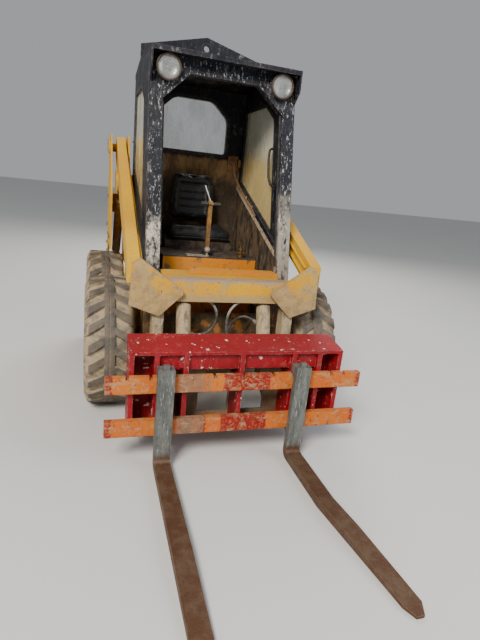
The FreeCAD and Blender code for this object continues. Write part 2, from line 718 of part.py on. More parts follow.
def make_chassis():
    """Two chain cases joined by a belly plate, a front plate and a rear cross plate."""
    body = new_body("main_frame")
    front = -dim.chassis_front
    rear = dim.chassis_rear
    plate = dim.belly_plate
    outline = [
        (front + dim.nose_run, dim.belly_height),
        (rear - dim.tail_run, dim.belly_height),
        (rear, dim.bumper_low),
        (rear, dim.chassis_top),
        (front, dim.chassis_top),
        (front, nose_low),
    ]
    extrude(body, "X", -dim.chassis_half, dim.chassis_half, [outline])
    hollow = [
        (front + dim.nose_run + plate, dim.belly_height + plate),
        (rear + plate, dim.belly_height + plate),
        (rear + plate, dim.chassis_top + plate),
        (front + plate, dim.chassis_top + plate),
        (front + plate, nose_low + plate),
    ]
    extrude(body, "X", -case_inner, case_inner, [hollow], cut=True)
    # two ports in the front plate, under the door sill
    port = box_outline(
        dim.front_port_in, dim.front_port_out, dim.front_port_low, dim.front_port_high
    )
    extrude(body, "Y", front - plate, front + 2 * plate, [port, mirrored(port)], cut=True)
    # tie-down lug on the front plate
    lug = [
        (dim.tie_place - dim.tie_half, dim.tie_high),
        (dim.tie_place, dim.tie_high - dim.tie_tall),
        (dim.tie_place + dim.tie_half, dim.tie_high),
    ]
    extrude(body, "Y", front - plate, front + 1, [lug])
    hole = facets((dim.tie_place, dim.tie_high - dim.tie_half / 2), dim.tie_hole, dim.tube_facets)
    extrude(body, "Y", front - plate - 1, front, [hole], cut=True)
    # bulkhead between the footwell and the engine bay
    bulkhead = box_outline(-case_inner - 1, case_inner + 1, dim.belly_height + 1, dim.chassis_top)
    extrude(body, "Y", dim.cab_rear - plate, dim.cab_rear, [bulkhead])
    # door sill
    sill_top = dim.chassis_top + dim.sill_height
    sill = box_outline(-dim.sill_half, dim.sill_half, dim.chassis_top - plate, sill_top)
    sill_front = front - dim.sill_reach
    extrude(body, "Y", sill_front, sill_front + dim.sill_depth, [sill])
    place(body)
    # step plate on the sill, cut at a slant on one end
    step = new_body("door_step")
    plan = [
        (-dim.step_left, sill_front),
        (dim.step_right, sill_front),
        (dim.step_right, sill_front + dim.sill_depth),
        (-dim.step_left + dim.step_slant, sill_front + dim.sill_depth),
    ]
    low = sill_top + dim.fit_gap
    extrude(step, "Z", low, low + dim.step_plate, [plan])
    place(step)


def make_axle_housings():
    """Fixed tubes that carry the wheel shafts, bolted to the chain cases."""
    body = new_body("axle_housings")
    for side in SIDES:
        low, high = span_on(side, dim.chassis_half, hub_seat)
        for axle in (front_axle, rear_axle):
            centre = (axle, axle_height)
            tube = facets(centre, dim.axle_tube_radius, dim.tube_facets)
            extrude(body, "X", low, high, [tube, bore_at(centre, dim.shaft_radius)])
    place(body)


def make_tyre(label, side, axle):
    """Tyre with bevelled shoulders, lug gaps on both sides and a worn middle band."""
    body = new_body(label)
    half = dim.tyre_width / 2
    corner = flats_at(dim.tyre_radius, dim.tyre_facets)
    extrude(body, "Z", -half, half, [facets((0, 0), corner, dim.tyre_facets)])
    names = rim_edges(body.Tip.Shape, dim.tyre_radius - 1, dim.tyre_radius + 1)
    bevel(body, names, dim.shoulder_along, dim.shoulder_across)
    bead = dim.rim_radius + dim.fit_gap
    hole = facets((0, 0), bead, dim.rim_facets)
    extrude(body, "Z", -half - 1, half + 1, [hole], cut=True)
    names = rim_edges(body.Tip.Shape, bead - dim.wall_along, bead + 1)
    bevel(body, names, dim.wall_along, dim.wall_across)
    # one gap on each side of the middle band, repeated round the tyre
    edge = dim.lug_gap_wide / 2
    lag = -dim.lug_slant * side
    gap = [
        (-edge, dim.lug_band),
        (edge, dim.lug_band),
        (edge + lag, half + 1),
        (-edge + lag, half + 1),
    ]
    other = [(across, -along) for across, along in reversed(gap)]
    floor = dim.tyre_radius - dim.lug_height
    cut = extrude(body, "Y", floor, corner + 1, [gap, other], cut=True)
    ring = body.newObject("PartDesign::PolarPattern", f"{label}_lugs")
    ring.Originals = [cut]
    ring.Axis = (body.Origin.OriginFeatures[2], [""])
    ring.Angle = 360
    ring.Occurrences = int(dim.tyre_facets.value) // 2
    tie(ring, "Occurrences", dim.tyre_facets / 2)
    body.Tip = ring
    doc.recompute()
    along_axle(body, side, axle)


def along_axle(body, side, axle):
    """Lay a piece that was built along Z down on its axle, outer face outwards."""
    middle = tyre_middle * side
    rotation = Rotation(Vector(0, 1, 0), 90 * side)
    spot = Vector(middle.value, (axle + frame_shift).value, axle_height.value)
    body.Placement = Placement(spot, rotation)
    tie(body, "Placement.Base.x", middle)
    tie(body, "Placement.Base.y", axle + frame_shift)
    tie(body, "Placement.Base.z", axle_height)


def make_rim(label, side, axle):
    """Steel rim: barrel with two flanges, disc, hub, hub cap and shaft."""
    body = new_body(label)
    half = dim.rim_half
    outer = half + dim.rim_wall
    disc = dim.disc_place
    seat = facets((0, 0), dim.rim_radius, dim.rim_facets)
    flange = facets((0, 0), dim.rim_radius + dim.rim_flange, dim.rim_facets)
    inside = facets((0, 0), dim.rim_radius - dim.rim_wall, dim.rim_facets)
    hub = facets((0, 0), dim.hub_radius, dim.tube_facets)
    cap = facets((0, 0), dim.cap_radius, dim.tube_facets)
    hub_end = tyre_middle - hub_seat - dim.fit_gap
    shaft_end = tyre_middle - dim.chassis_half - 2
    # low, high, outline, cut or not
    steps = [
        (-outer, outer, seat, False),
        (half, outer, flange, False),
        (-outer, -half, flange, False),
        (disc, outer + 1, inside, True),
        (-outer - 1, disc - dim.rim_wall, inside, True),
        (-hub_end, disc - 1, hub, False),
        (-shaft_end, -hub_end + 1, ((0, 0), dim.shaft_radius), False),
        (disc - 1, disc + dim.cap_depth, cap, False),
    ]
    for low, high, shape, cut in steps:
        extrude(body, "Z", low, high, [shape], cut)
    along_axle(body, side, axle)


def make_wheels():
    """Four wheels, each a tyre on its rim."""
    # end name, axle place
    for end, axle in (("front", front_axle), ("rear", rear_axle)):
        for name, side in (("left", -1), ("right", 1)):
            make_tyre(f"tyre_{end}_{name}", side, axle)
            make_rim(f"rim_{end}_{name}", side, axle)


def make_cab_front():
    """Leaning door frame: two posts and a header with corner gussets, one welded piece."""
    body = new_body("cab_front_frame")
    low = dim.chassis_top
    side = [
        (post_face(low), low),
        (post_back(low), low),
        under_roof(dim.post_deep / cosine(dim.post_lean)),
        under_roof(as_size(0)),
    ]
    extrude(body, "X", -dim.cab_half, dim.cab_half, [side])
    gusset = [
        (post_inner, dim.door_high - dim.door_chamfer_tall),
        (post_inner - dim.door_chamfer_wide, dim.door_high),
    ]
    opening = [(-post_inner, low - 1), (post_inner, low - 1)] + gusset + mirrored(gusset)
    extrude(body, "Y", -dim.chassis_front - 1, dim.ridge_place, [opening], cut=True)
    place(body)


def side_window_corners(shrink):
    """Outline of the side window, made smaller all round by shrink."""
    low = dim.side_window_low
    knee = dim.side_window_high - dim.side_window_knee
    front = post_back(knee) + dim.side_window_border
    return [
        (post_back(low) + dim.side_window_border + shrink, low + shrink),
        (dim.side_window_rear - shrink, dim.side_window_rise + shrink),
        (dim.side_window_rear - shrink, dim.side_window_high - shrink),
        (front + dim.side_window_slope + shrink, dim.side_window_high - shrink),
        (front + shrink, knee),
    ]


def make_cab_sides():
    """Side panels with their window openings, and a diagonal brace on their inside."""
    # brace along the window's lower edge, from the post to the rear wall
    low = dim.side_window_low
    front = post_back(low)
    start = front + dim.side_window_border
    rate = (dim.side_window_rise - low) / (dim.side_window_rear - start)
    rear = dim.cab_rear - dim.rear_wall - dim.fit_gap
    brace_front = low - dim.side_window_border * rate
    brace_rear = low + (rear - start) * rate
    brace = [
        (front, brace_front - dim.brace_tall),
        (rear, brace_rear - dim.brace_tall),
        (rear, brace_rear),
        (front, brace_front),
    ]
    for name, side in (("left", -1), ("right", 1)):
        body = new_body(f"cab_side_{name}")
        outline = [
            (post_back(dim.chassis_top), dim.chassis_top),
            (dim.cab_rear, dim.chassis_top),
            (dim.cab_rear, roof_under_rear(dim.cab_rear)),
            (dim.ridge_place, dim.roof_ridge_height - dim.roof_plate),
            under_roof(dim.post_deep / cosine(dim.post_lean)),
        ]
        inner = dim.cab_half - dim.cab_wall
        low, high = span_on(side, inner, dim.cab_half)
        extrude(body, "X", low, high, [outline])
        extrude(body, "X", low - 1, high + 1, [side_window_corners(as_size(0))], cut=True)
        low, high = span_on(side, inner - dim.brace_thick, inner + 1)
        extrude(body, "X", low, high, [brace])
        place(body)


def make_side_windows():
    """Plastic panes in the side openings, in the middle of the wall."""
    body = new_body("side_windows")
    middle = dim.cab_half - dim.cab_wall / 2
    for side in SIDES:
        low, high = span_on(side, middle - dim.pane / 2, middle + dim.pane / 2)
        extrude(body, "X", low, high, [side_window_corners(dim.fit_gap)])
    place(body)


def rear_window_corners(shrink):
    """Outline of the rear window, made smaller all round by shrink."""
    half = dim.rear_window_half - shrink
    flat = dim.rear_window_flat_half
    return [
        (-half, dim.rear_window_low + shrink),
        (half, dim.rear_window_low + shrink),
        (half, dim.rear_window_shoulder),
        (flat, dim.rear_window_high - shrink),
        (-flat, dim.rear_window_high - shrink),
        (-half, dim.rear_window_shoulder),
    ]


def make_cab_rear():
    """Rear wall between the side panels with its window opening, and the pane."""
    body = new_body("cab_rear_wall")
    half = dim.cab_half - dim.cab_wall
    rear = dim.cab_rear
    front = rear - dim.rear_wall
    outline = box_outline(-half, half, dim.chassis_top, roof_under_rear(rear))
    extrude(body, "Y", front, rear, [outline])
    extrude(body, "Y", front - 1, rear + 1, [rear_window_corners(as_size(0))], cut=True)
    # hinge ears and pins for the hood
    tube = dim.hinge_tube
    leaf = [
        (rear - 1, hood_hinge[1] - tube),
        (hood_hinge[0] + tube / 2, hood_hinge[1] - tube),
        (hood_hinge[0] + tube, hood_hinge[1]),
        (hood_hinge[0] + tube / 2, hood_hinge[1] + tube),
        (rear - 1, hood_hinge[1] + 2 * tube),
    ]
    reach = dim.hinge_long / 2 + dim.lug_gap
    for side in SIDES:
        middle = dim.hood_hinge_place * side
        for low in (middle - reach - dim.hinge_ear, middle + reach):
            extrude(body, "X", low, low + dim.hinge_ear, [leaf])
        pin = (hood_hinge, dim.hinge_pin)
        extrude(body, "X", middle - reach - 1, middle + reach + 1, [pin])
    place(body)
    pane = new_body("rear_window")
    middle = dim.cab_rear - dim.rear_wall / 2
    corners = rear_window_corners(dim.fit_gap)
    extrude(pane, "Y", middle - dim.pane / 2, middle + dim.pane / 2, [corners])
    place(pane)


def make_roof():
    """Roof panel with the visor that overhangs the door, and the lifting plate on it."""
    body = new_body("cab_roof")
    panel = [
        (-dim.visor_front, dim.roof_front_height - dim.roof_plate),
        (dim.ridge_place, dim.roof_ridge_height - dim.roof_plate),
        (dim.roof_rear, dim.roof_rear_height - dim.roof_plate),
        (dim.roof_rear, dim.roof_rear_height),
        (dim.ridge_place, dim.roof_ridge_height),
        (-dim.visor_front, dim.roof_front_height),
    ]
    extrude(body, "X", -dim.cab_half, dim.cab_half, [panel])
    # triangular cheeks of the visor, in front of the posts
    cheek_low = dim.roof_front_height - dim.cheek_rear_tall
    cheek_high = dim.roof_front_height - dim.roof_plate + 3
    cheek = [
        (-dim.visor_front, dim.roof_front_height - dim.cheek_front_tall),
        (post_face(cheek_low), cheek_low),
        (post_face(cheek_high), cheek_high),
        (-dim.visor_front, cheek_high),
    ]
    for side in SIDES:
        low, high = span_on(side, dim.cab_half - dim.cheek_plate, dim.cab_half)
        extrude(body, "X", low, high, [cheek])
    place(body)
    plate = new_body("roof_lifting_plate")
    half = dim.cab_half
    gable = [
        (-half, dim.roof_ridge_height),
        (half, dim.roof_ridge_height),
        (half, dim.gable_end_height),
        (0, dim.gable_top_height),
        (-half, dim.gable_end_height),
    ]
    front = dim.ridge_place - dim.gable_plate / 2
    rear = dim.ridge_place + dim.gable_plate / 2
    rise = dim.boss_rise
    eye = (as_size(0), dim.lift_eye_height)
    extrude(plate, "Y", front, rear, [gable])
    boss = facets(eye, dim.lift_eye_boss, dim.tube_facets)
    extrude(plate, "Y", front - rise, rear + rise, [boss])
    bore = (eye, dim.lift_eye_radius)
    extrude(plate, "Y", front - rise - 1, rear + rise + 1, [bore], cut=True)
    place(plate)


def make_work_lamps():
    """Round lamps under the visor: rim, bowl and foot, with the lens in front."""
    lamps = new_body("work_lamp_housings")
    lenses = new_body("work_lamp_lenses")
    face = -dim.lamp_face
    rim_back = face + dim.lamp_rim_deep
    back = face + dim.lamp_depth
    foot_top = roof_under(rim_back) - dim.fit_gap
    count = dim.lamp_facets
    seat = dim.lamp_radius - dim.lamp_rim_wall
    for side in SIDES:
        across = dim.lamp_place * side
        centre = (across, dim.lamp_height)
        foot = box_outline(
            across - dim.lamp_foot, across + dim.lamp_foot, dim.lamp_height, foot_top
        )
        extrude(lamps, "Y", face, rim_back, [facets(centre, dim.lamp_radius, count)])
        extrude(lamps, "Y", rim_back - 1, back, [facets(centre, dim.lamp_bowl, dim.tube_facets)])
        extrude(lamps, "Y", rim_back + 1, back - 1, [foot])
        hole = facets(centre, seat, count)
        extrude(lamps, "Y", face - 1, face + dim.lens_thickness, [hole], cut=True)
        glass = facets(centre, seat - dim.fit_gap, count)
        extrude(lenses, "Y", face + 2, face + dim.lens_thickness, [glass])
    place(lamps)
    place(lenses)


def make_seat():
    """Cushion and backrest as plain closed solids, and the seat box with the console."""
    cushion = new_body("seat_cushion")
    front = -dim.cushion_front
    rear = front + dim.cushion_deep
    low, high = dim.cushion_low, dim.cushion_low + dim.cushion_tall
    half = dim.cushion_half
    corner = dim.cushion_corner
    outline = [
        (-half, front + corner),
        (corner - half, front),
        (half - corner, front),
        (half, front + corner),
        (half, rear - corner),
        (half - corner, rear),
        (corner - half, rear),
        (-half, rear - corner),
    ]
    extrude(cushion, "Z", low, high, [outline])
    place(cushion)
    back = new_body("seat_backrest")
    fall = sine(dim.backrest_lean) / cosine(dim.backrest_lean)
    foot = high + dim.backrest_in * fall + dim.backrest_rise
    tall = (dim.backrest_top - foot) / cosine(dim.backrest_lean)
    half = dim.backrest_half
    corner = dim.backrest_corner
    plan = [
        (-half, 0),
        (half, 0),
        (half, tall - corner),
        (half - corner, tall),
        (corner - half, tall),
        (-half, tall - corner),
    ]
    extrude(back, "Y", 0, dim.backrest_thick, [plan])
    place(back, 0, rear - dim.backrest_in, foot, -dim.backrest_lean)
    box = new_body("seat_base")
    box_front = front + dim.seat_box_in
    box_rear = dim.cab_rear - dim.rear_wall
    floor = dim.floor_height
    floor_pan = [
        (-dim.chassis_front + dim.belly_plate, floor - dim.belly_plate),
        (dim.cab_rear - dim.belly_plate, floor - dim.belly_plate),
        (dim.cab_rear - dim.belly_plate, floor),
        (-dim.chassis_front + dim.belly_plate, floor),
    ]
    extrude(box, "X", -case_inner, case_inner, [floor_pan])
    pan = box_outline(-dim.seat_box_half, dim.seat_box_half, floor - 1, low)
    extrude(box, "Y", box_front, box_rear, [pan])
    # bracket under the backrest, along its sloping underside
    near = rear + dim.bracket_in
    far = near + dim.bracket_plate
    under = high + dim.backrest_rise - dim.fit_gap
    bracket = [
        (near, low - 1),
        (far, low - 1),
        (far, under - (far - rear) * fall),
        (near, under - (near - rear) * fall),
    ]
    extrude(box, "X", -dim.bracket_half, dim.bracket_half, [bracket])
    half = dim.console_half
    console = box_outline(-half, half, floor - 1, dim.console_top)
    console_rear = -dim.console_front + dim.console_plate
    extrude(box, "Y", -dim.console_front, console_rear, [console])
    shelf = box_outline(-half, half, dim.console_top - dim.console_plate, dim.console_top)
    extrude(box, "Y", console_rear - 1, box_front + 1, [shelf])
    place(box)


def make_lever():
    """Control lever: a square bar with a cross grip, and a thin rod that leans out of it."""
    body = new_body("control_lever")
    half = dim.lever_thick / 2
    along = -dim.lever_front
    bar = box_outline(-half, half, dim.console_top, dim.lever_top)
    extrude(body, "Y", along - half, along + half, [bar])
    grip = facets((along - half, dim.grip_height), dim.grip_radius, dim.tube_facets)
    extrude(body, "X", -dim.grip_long, dim.grip_long, [grip])
    thin = dim.lever_rod
    lean = dim.lever_rod_lean
    rod = [
        (-thin, dim.lever_top - 1),
        (thin, dim.lever_top - 1),
        (thin - lean, dim.lever_rod_top),
        (-thin - lean, dim.lever_rod_top),
    ]
    extrude(body, "Y", along - thin, along + thin, [rod])
    place(body)


def make_engine():
    """Engine block between the chain cases."""
    body = new_body("engine_block")
    high = dim.chassis_top + dim.engine_rise
    low = dim.belly_height + dim.belly_plate
    outline = box_outline(-dim.engine_half, dim.engine_half, low, high)
    front = dim.cab_rear + dim.engine_gap
    extrude(body, "Y", front, dim.chassis_rear - dim.engine_rear_gap, [outline])
    place(body)


def make_hood():
    """Sloping hood with air slots, and the straps and knuckles of its two hinges."""
    body = new_body("engine_hood")
    front = dim.cab_rear + dim.hood_gap
    rear = dim.chassis_rear
    panel = [
        (front, dim.hood_front_height - dim.hood_plate),
        (rear, dim.hood_rear_height - dim.hood_plate),
        (rear, dim.hood_rear_height),
        (front, dim.hood_front_height),
    ]
    extrude(body, "X", -dim.hood_half, dim.hood_half, [panel])
    reach = dim.hood_half - dim.hood_slot_margin
    slots = []
    for index in range(int(dim.hood_slots.value)):
        start = front + dim.hood_slot_start + index * dim.hood_slot_pitch
        slots.append(box_outline(-reach, reach, start, start + dim.hood_slot))
    low = dim.hood_rear_height - dim.hood_plate - 1
    extrude(body, "Z", low, dim.hood_front_height + 1, slots, cut=True)
    tube = dim.hinge_tube
    strap = [
        (hood_hinge[0], hood_hinge[1] - tube),
        (hood_hinge[0] + dim.strap_long, hood_hinge[1] - 4 * tube),
        (hood_hinge[0] + dim.strap_long, hood_hinge[1] - 2.5 * tube),
        (hood_hinge[0] + tube / 2, hood_hinge[1] - tube / 2),
    ]
    half = dim.hinge_long / 2
    for side in SIDES:
        middle = dim.hood_hinge_place * side
        extrude(body, "X", middle - half, middle + half, [strap])
        knuckle = facets(hood_hinge, tube, dim.tube_facets)
        extrude(body, "X", middle - half, middle + half, [knuckle])
        hole = bore_at(hood_hinge, knuckle_bore)
        extrude(body, "X", middle - half - 1, middle + half + 1, [hole], cut=True)
    place(body)


def make_rear_posts():
    """Posts beside the engine door, with the ears and pins of its hinges."""
    body = new_body("rear_corner_posts")
    high = dim.hood_rear_height - dim.post_drop
    inner = dim.door_half + dim.post_gap
    post = box_outline(inner, dim.tower_inner - 1, dim.chassis_top, high)
    rear = dim.chassis_rear
    extrude(body, "Y", rear - dim.corner_post, rear, [post, mirrored(post)])
    tube = dim.hinge_tube
    half = dim.hinge_long / 2 + dim.lug_gap
    reach = half + dim.hinge_ear
    foot = box_outline(door_hinge[0] - tube, door_hinge[0] + tube / 2, rear - 1, door_hinge[1])
    ear = facets(door_hinge, tube, dim.tube_facets)
    for up in door_hinge_heights:
        for low in (up - reach, up + half):
            extrude(body, "Z", low, low + dim.hinge_ear, [foot])
            extrude(body, "Z", low, low + dim.hinge_ear, [ear])
        extrude(body, "Z", up - half - 1, up + half + 1, [(door_hinge, dim.hinge_pin)])
    place(body)


def make_rear_door():
    """Engine door with a stack of louvre slots, and the knuckles of its hinges."""
    body = new_body("rear_door")
    half = dim.door_half
    high = dim.hood_rear_height - dim.door_drop
    panel = box_outline(-half, half, dim.door_low, high)
    front = dim.door_rear - dim.door_thick
    extrude(body, "Y", front, dim.door_rear, [panel])
    margin = dim.door_margin
    pitch = (high - dim.door_low - 2 * margin) / dim.slot_count
    slots = []
    for index in range(int(dim.slot_count.value)):
        low = dim.door_low + margin + pitch * (index + 0.25)
        slots.append(box_outline(-half + margin, half - margin, low, low + pitch / 2))
    extrude(body, "Y", front - 1, dim.door_rear + 1, slots, cut=True)
    long = dim.hinge_long / 2
    tube = dim.hinge_tube
    for up in door_hinge_heights:
        leaf = box_outline(door_hinge[0], -half + 1, door_hinge[1] + 2, door_hinge[1] + tube)
        extrude(body, "Z", up - long, up + long, [leaf])
        extrude(body, "Z", up - long, up + long, [facets(door_hinge, tube, dim.tube_facets)])
        hole = bore_at(door_hinge, knuckle_bore)
        extrude(body, "Z", up - long - 1, up + long + 1, [hole], cut=True)
    place(body)


def make_bumper():
    """Rear bumper bar with two ears and the bore for the tow pin."""
    body = new_body("rear_bumper")
    bar = box_outline(-dim.chassis_half, dim.chassis_half, dim.bumper_low, dim.bumper_high)
    bar_rear = dim.bumper_rear - dim.tow_ear
    extrude(body, "Y", dim.chassis_rear, bar_rear, [bar])
    ear = box_outline(-dim.tow_ear_half, dim.tow_ear_half, bar_rear - 1, dim.bumper_rear)
    thick = dim.tow_ear_plate
    inset = dim.tow_ear_in
    for low in (dim.bumper_low + inset, dim.bumper_high - inset - thick):
        extrude(body, "Z", low, low + thick, [ear])
    bore = ((0, dim.bumper_rear - dim.tow_ear / 2), dim.tow_bore_radius)
    extrude(body, "Z", dim.bumper_low, dim.bumper_high, [bore], cut=True)
    place(body)


def tower_outline():
    """Side outline of a tower plate: it clears the rear tyre and carries both pivots."""
    low = dim.lift_base_height - 2 * dim.eye_radius
    front = dim.pivot_back - dim.tower_front
    rear = dim.lift_base_back + dim.tower_rear
    top = dim.pivot_height + dim.tower_cap
    waist = dim.chassis_top + dim.tower_waist
    return [
        (front, dim.chassis_top + dim.tower_rise),
        (dim.pivot_back - dim.pivot_boss, dim.chassis_top + dim.tower_rise),
        (dim.lift_base_back - dim.tongue_half, low),
        (rear, low),
        (rear, waist),
        (dim.pivot_back + dim.arm_rear_tall * 2 / 3, top),
        (dim.pivot_back - dim.arm_rear_tall * 4 / 5, top),
        (front, waist),
    ]


def make_towers():
    """A pair of plates on each side, with webs, the lift pivot pin and the cylinder pin."""
    body = new_body("rear_towers")
    outer_low = dim.tower_outer - dim.tower_plate
    inner_high = dim.tower_inner + dim.tower_plate
    front = dim.pivot_back - dim.tower_front
    rear = dim.lift_base_back + dim.tower_rear
    waist = dim.chassis_top + dim.tower_waist
    foot_high = dim.chassis_top + dim.tower_rise + 1
    foot = box_outline(front, rear, dim.chassis_top - dim.tower_foot, foot_high)
    web = box_outline(
        rear - 2 * dim.tower_rear + 10, rear - 10, waist - 2.5 * dim.tower_rear, waist
    )
    boss = facets(pivot, dim.pivot_boss, dim.tube_facets)
    boss_high = dim.tower_outer + dim.pivot_boss_rise
    # low, high from the middle plane, outline
    plates = [
        (outer_low, dim.tower_outer, tower_outline()),
        (dim.tower_inner, inner_high, tower_outline()),
        (dim.chassis_half, inner_high, foot),
        (dim.tower_inner + 1, dim.tower_outer - 1, web),
        (dim.tower_inner + 1, dim.tower_outer - 1, (pivot, dim.pivot_pin)),
        (dim.tower_outer - 1, boss_high, boss),
        (dim.tower_inner + 1, dim.tower_outer - 1, (lift_base, base_pin)),
    ]
    for side in SIDES:
        for low, high, shape in plates:
            low, high = span_on(side, low, high)
            extrude(body, "X", low, high, [shape])
    place(body)


def make_lift_arms():
    """Tapered box tubes from the rear pivots to the front plates, with cylinder lugs."""
    body = new_body("lift_arms")
    rear_half = dim.arm_rear_tall / 2
    front_half = dim.arm_front_tall / 2
    end = dim.pivot_back + dim.arm_end_run
    drop = dim.arm_end_drop
    tube = [
        (-dim.arm_front, dim.arm_front_height - front_half),
        (dim.pivot_back, dim.pivot_height - rear_half),
        (end, dim.pivot_height - rear_half + drop),
        (dim.pivot_back + rear_half, dim.pivot_height),
        (end, dim.pivot_height + rear_half - drop),
        (dim.pivot_back, dim.pivot_height + rear_half),
        (-dim.arm_front, dim.arm_front_height + front_half),
    ]
    along, up = lift_eye
    reach = dim.eye_radius
    # the lugs' upper corners lie inside the arm, which climbs to the rear
    lug = [
        (along - 2 * reach, up + 2 * reach),
        (along - reach, up - reach),
        (along + reach, up - reach),
        (along + 4 * reach, up + 3 * reach),
        (along + 4 * reach, up + 4 * reach),
        (along - 2 * reach, up + 3 * reach),
    ]
    lug_inner, lug_outer = lug_places(lift_place)
    bore = bore_at(pivot, dim.pivot_pin)
    # low, high from the middle plane, outline, cut or not
    steps = [
        (dim.arm_inner, dim.arm_outer, tube, False),
        (lug_inner, lug_inner + dim.lug_plate, lug, False),
        (lug_outer, lug_outer + dim.lug_plate, lug, False),
        (dim.arm_inner - 1, dim.arm_outer + 1, bore, True),
    ]
    for side in SIDES:
        for low, high, shape, cut in steps:
            low, high = span_on(side, low, high)
            extrude(body, "X", low, high, [shape], cut)
    place(body)


def make_cross_member():
    """Bent channel between the arms, with a pair of lugs round each tilt cylinder."""
    body = new_body("arm_cross_member")
    front = -dim.arm_front
    plate = dim.cross_plate
    channel = [
        (front, dim.cross_low),
        (front + plate, dim.cross_low),
        (front + plate, dim.cross_high - plate),
        (front + dim.cross_depth, dim.cross_high - plate),
        (front + dim.cross_depth, dim.cross_high),
        (front, dim.cross_high),
    ]
    extrude(body, "X", -dim.arm_inner, dim.arm_inner, [channel])
    along, up = tilt_top
    reach = dim.eye_radius
    lug = [
        (front + plate - 1, dim.cross_high - plate + 1),
        (front + plate - 1, dim.cross_low + 10),
        (along - 10, up - reach - 4),
        (along + dim.eye_bore + 10, up - reach + 2),
        (front + dim.cross_depth, dim.cross_high - plate + 1),
    ]
    for side in SIDES:
        middle = dim.tilt_place * side
        for low in lug_places(middle):
            extrude(body, "X", low, low + dim.lug_plate, [lug])
        wide = dim.eye_half + dim.lug_gap + 1
        extrude(body, "X", middle - wide, middle + wide, [(tilt_top, base_pin)])
    place(body)


def make_front_plates():
    """Gusset plates that join each arm to the cross member and its leg."""
    body = new_body("arm_front_plates")
    front = -dim.arm_front
    outer = dim.arm_outer
    throat = dim.tilt_place + dim.eye_half
    # corner by corner, from the top of the inner edge round the outside
    outline = [
        (dim.arm_inner - 1, dim.cross_high + dim.plate_inner_rise),
        (outer - dim.plate_bevel, dim.cross_high + dim.plate_outer_rise),
        (outer - dim.plate_hip_in, dim.cross_low - dim.plate_hip),
        (dim.leg_place, dim.cross_low - dim.plate_drop),
        (throat, dim.cross_low + dim.plate_throat),
        (throat, dim.cross_low + dim.plate_throat + dim.plate_hip),
    ]
    extrude(body, "Y", front - dim.front_plate, front, [outline, mirrored(outline)])
    place(body)


def make_legs():
    """Legs from the cross member down to the coupler's pins, their front edges rounded."""
    body = new_body("arm_legs")
    front = -dim.arm_front
    plate = dim.cross_plate
    along, up = leg_joint
    leg_back = front + dim.cross_depth - plate / 2
    leg_front = leg_back - dim.leg_deep
    low_front = up - dim.leg_pin
    leg = [
        (front + plate, dim.cross_high - plate),
        (front + plate, dim.cross_low),
        (front, dim.cross_low),
        (front, dim.cross_low - dim.leg_shoulder),
        (leg_front, dim.cross_low - dim.leg_shoulder - dim.leg_step),
        (leg_front, low_front),
        (along - dim.leg_pin, up - dim.leg_foot),
        (along + dim.leg_pin, up - dim.leg_foot),
        (leg_back, up - dim.leg_heel),
        (leg_back, dim.cross_high - plate),
    ]
    half = dim.leg_wide / 2
    corners = []
    for side in SIDES:
        middle = dim.leg_place * side
        extrude(body, "X", middle - half, middle + half, [leg])
        corners += [(middle - half, leg_front), (middle + half, leg_front)]
    round_corners(body, "Z", corners, dim.leg_round)
    bore = bore_at(leg_joint, dim.leg_pin)
    for side in SIDES:
        middle = dim.leg_place * side
        extrude(body, "X", middle - half - 1, middle + half + 1, [bore], cut=True)
    place(body)


def make_pipes():
    """Two steel pipes along each arm's inner side."""
    body = new_body("hydraulic_pipes")
    start = -dim.arm_front + dim.pipe_start
    rise = dim.pivot_height - dim.arm_front_height
    angle = slope_angle(rise, dim.pivot_back + dim.arm_front)
    length = (dim.pipe_rear - start) / cosine(angle)
    up = dim.arm_front_height + dim.pipe_start * arm_slope
    for side in SIDES:
        across = (dim.arm_inner - dim.pipe_radius) * side
        for row in (-1, 1):
            pipe = facets((across, row * dim.pipe_spread), dim.pipe_radius, dim.tube_facets)
            extrude(body, "Y", 0, length, [pipe])
    place(body, 0, start, up, angle)


def make_cylinder(name, place_across, low_pin, high_pin, barrel, rod, rod_back, share):
    """A pair of cylinders: barrels on their base pins and rods that slide in them.

    low_pin is the barrel's pin and high_pin the rod's eye, as (along, up).
    """
    run = high_pin[0] - low_pin[0]
    rise = high_pin[1] - low_pin[1]
    span = distance(run, rise)
    # the body's own Z points from the barrel's pin to the rod's eye
    angle = slope_angle(-run, rise)
    start = dim.barrel_head
    end = span * share
    tongue_end = start - dim.barrel_cap
    barrels = new_body(f"{name}_barrels")
    rods = new_body(f"{name}_rods")
    for side in SIDES:
        middle = (place_across * side, 0)
        low = place_across * side - dim.eye_half
        high = place_across * side + dim.eye_half
        tube = facets(middle, barrel, dim.barrel_facets)
        extrude(barrels, "Z", tongue_end, end, [tube])
        extrude(barrels, "Z", start, end + 1, [bore_at(middle, rod)], cut=True)
        tongue = box_outline(low, high, 0, tongue_end + 1)
        extrude(barrels, "Y", -dim.tongue_half, dim.tongue_half, [tongue])
        rod_outline = facets(middle, rod, dim.tube_facets, 0)
        extrude(rods, "Z", start + rod_back, span - dim.tongue_half, [rod_outline])
        for body, up in ((barrels, as_size(0)), (rods, span)):
            centre = (as_size(0), up)
            eye = facets(centre, dim.eye_radius, dim.tube_facets)
            extrude(body, "X", low, high, [eye])
            extrude(body, "X", low - 1, high + 1, [bore_at(centre, base_pin)], cut=True)
    for body in (barrels, rods):
        place(body, 0, low_pin[0], low_pin[1], angle)


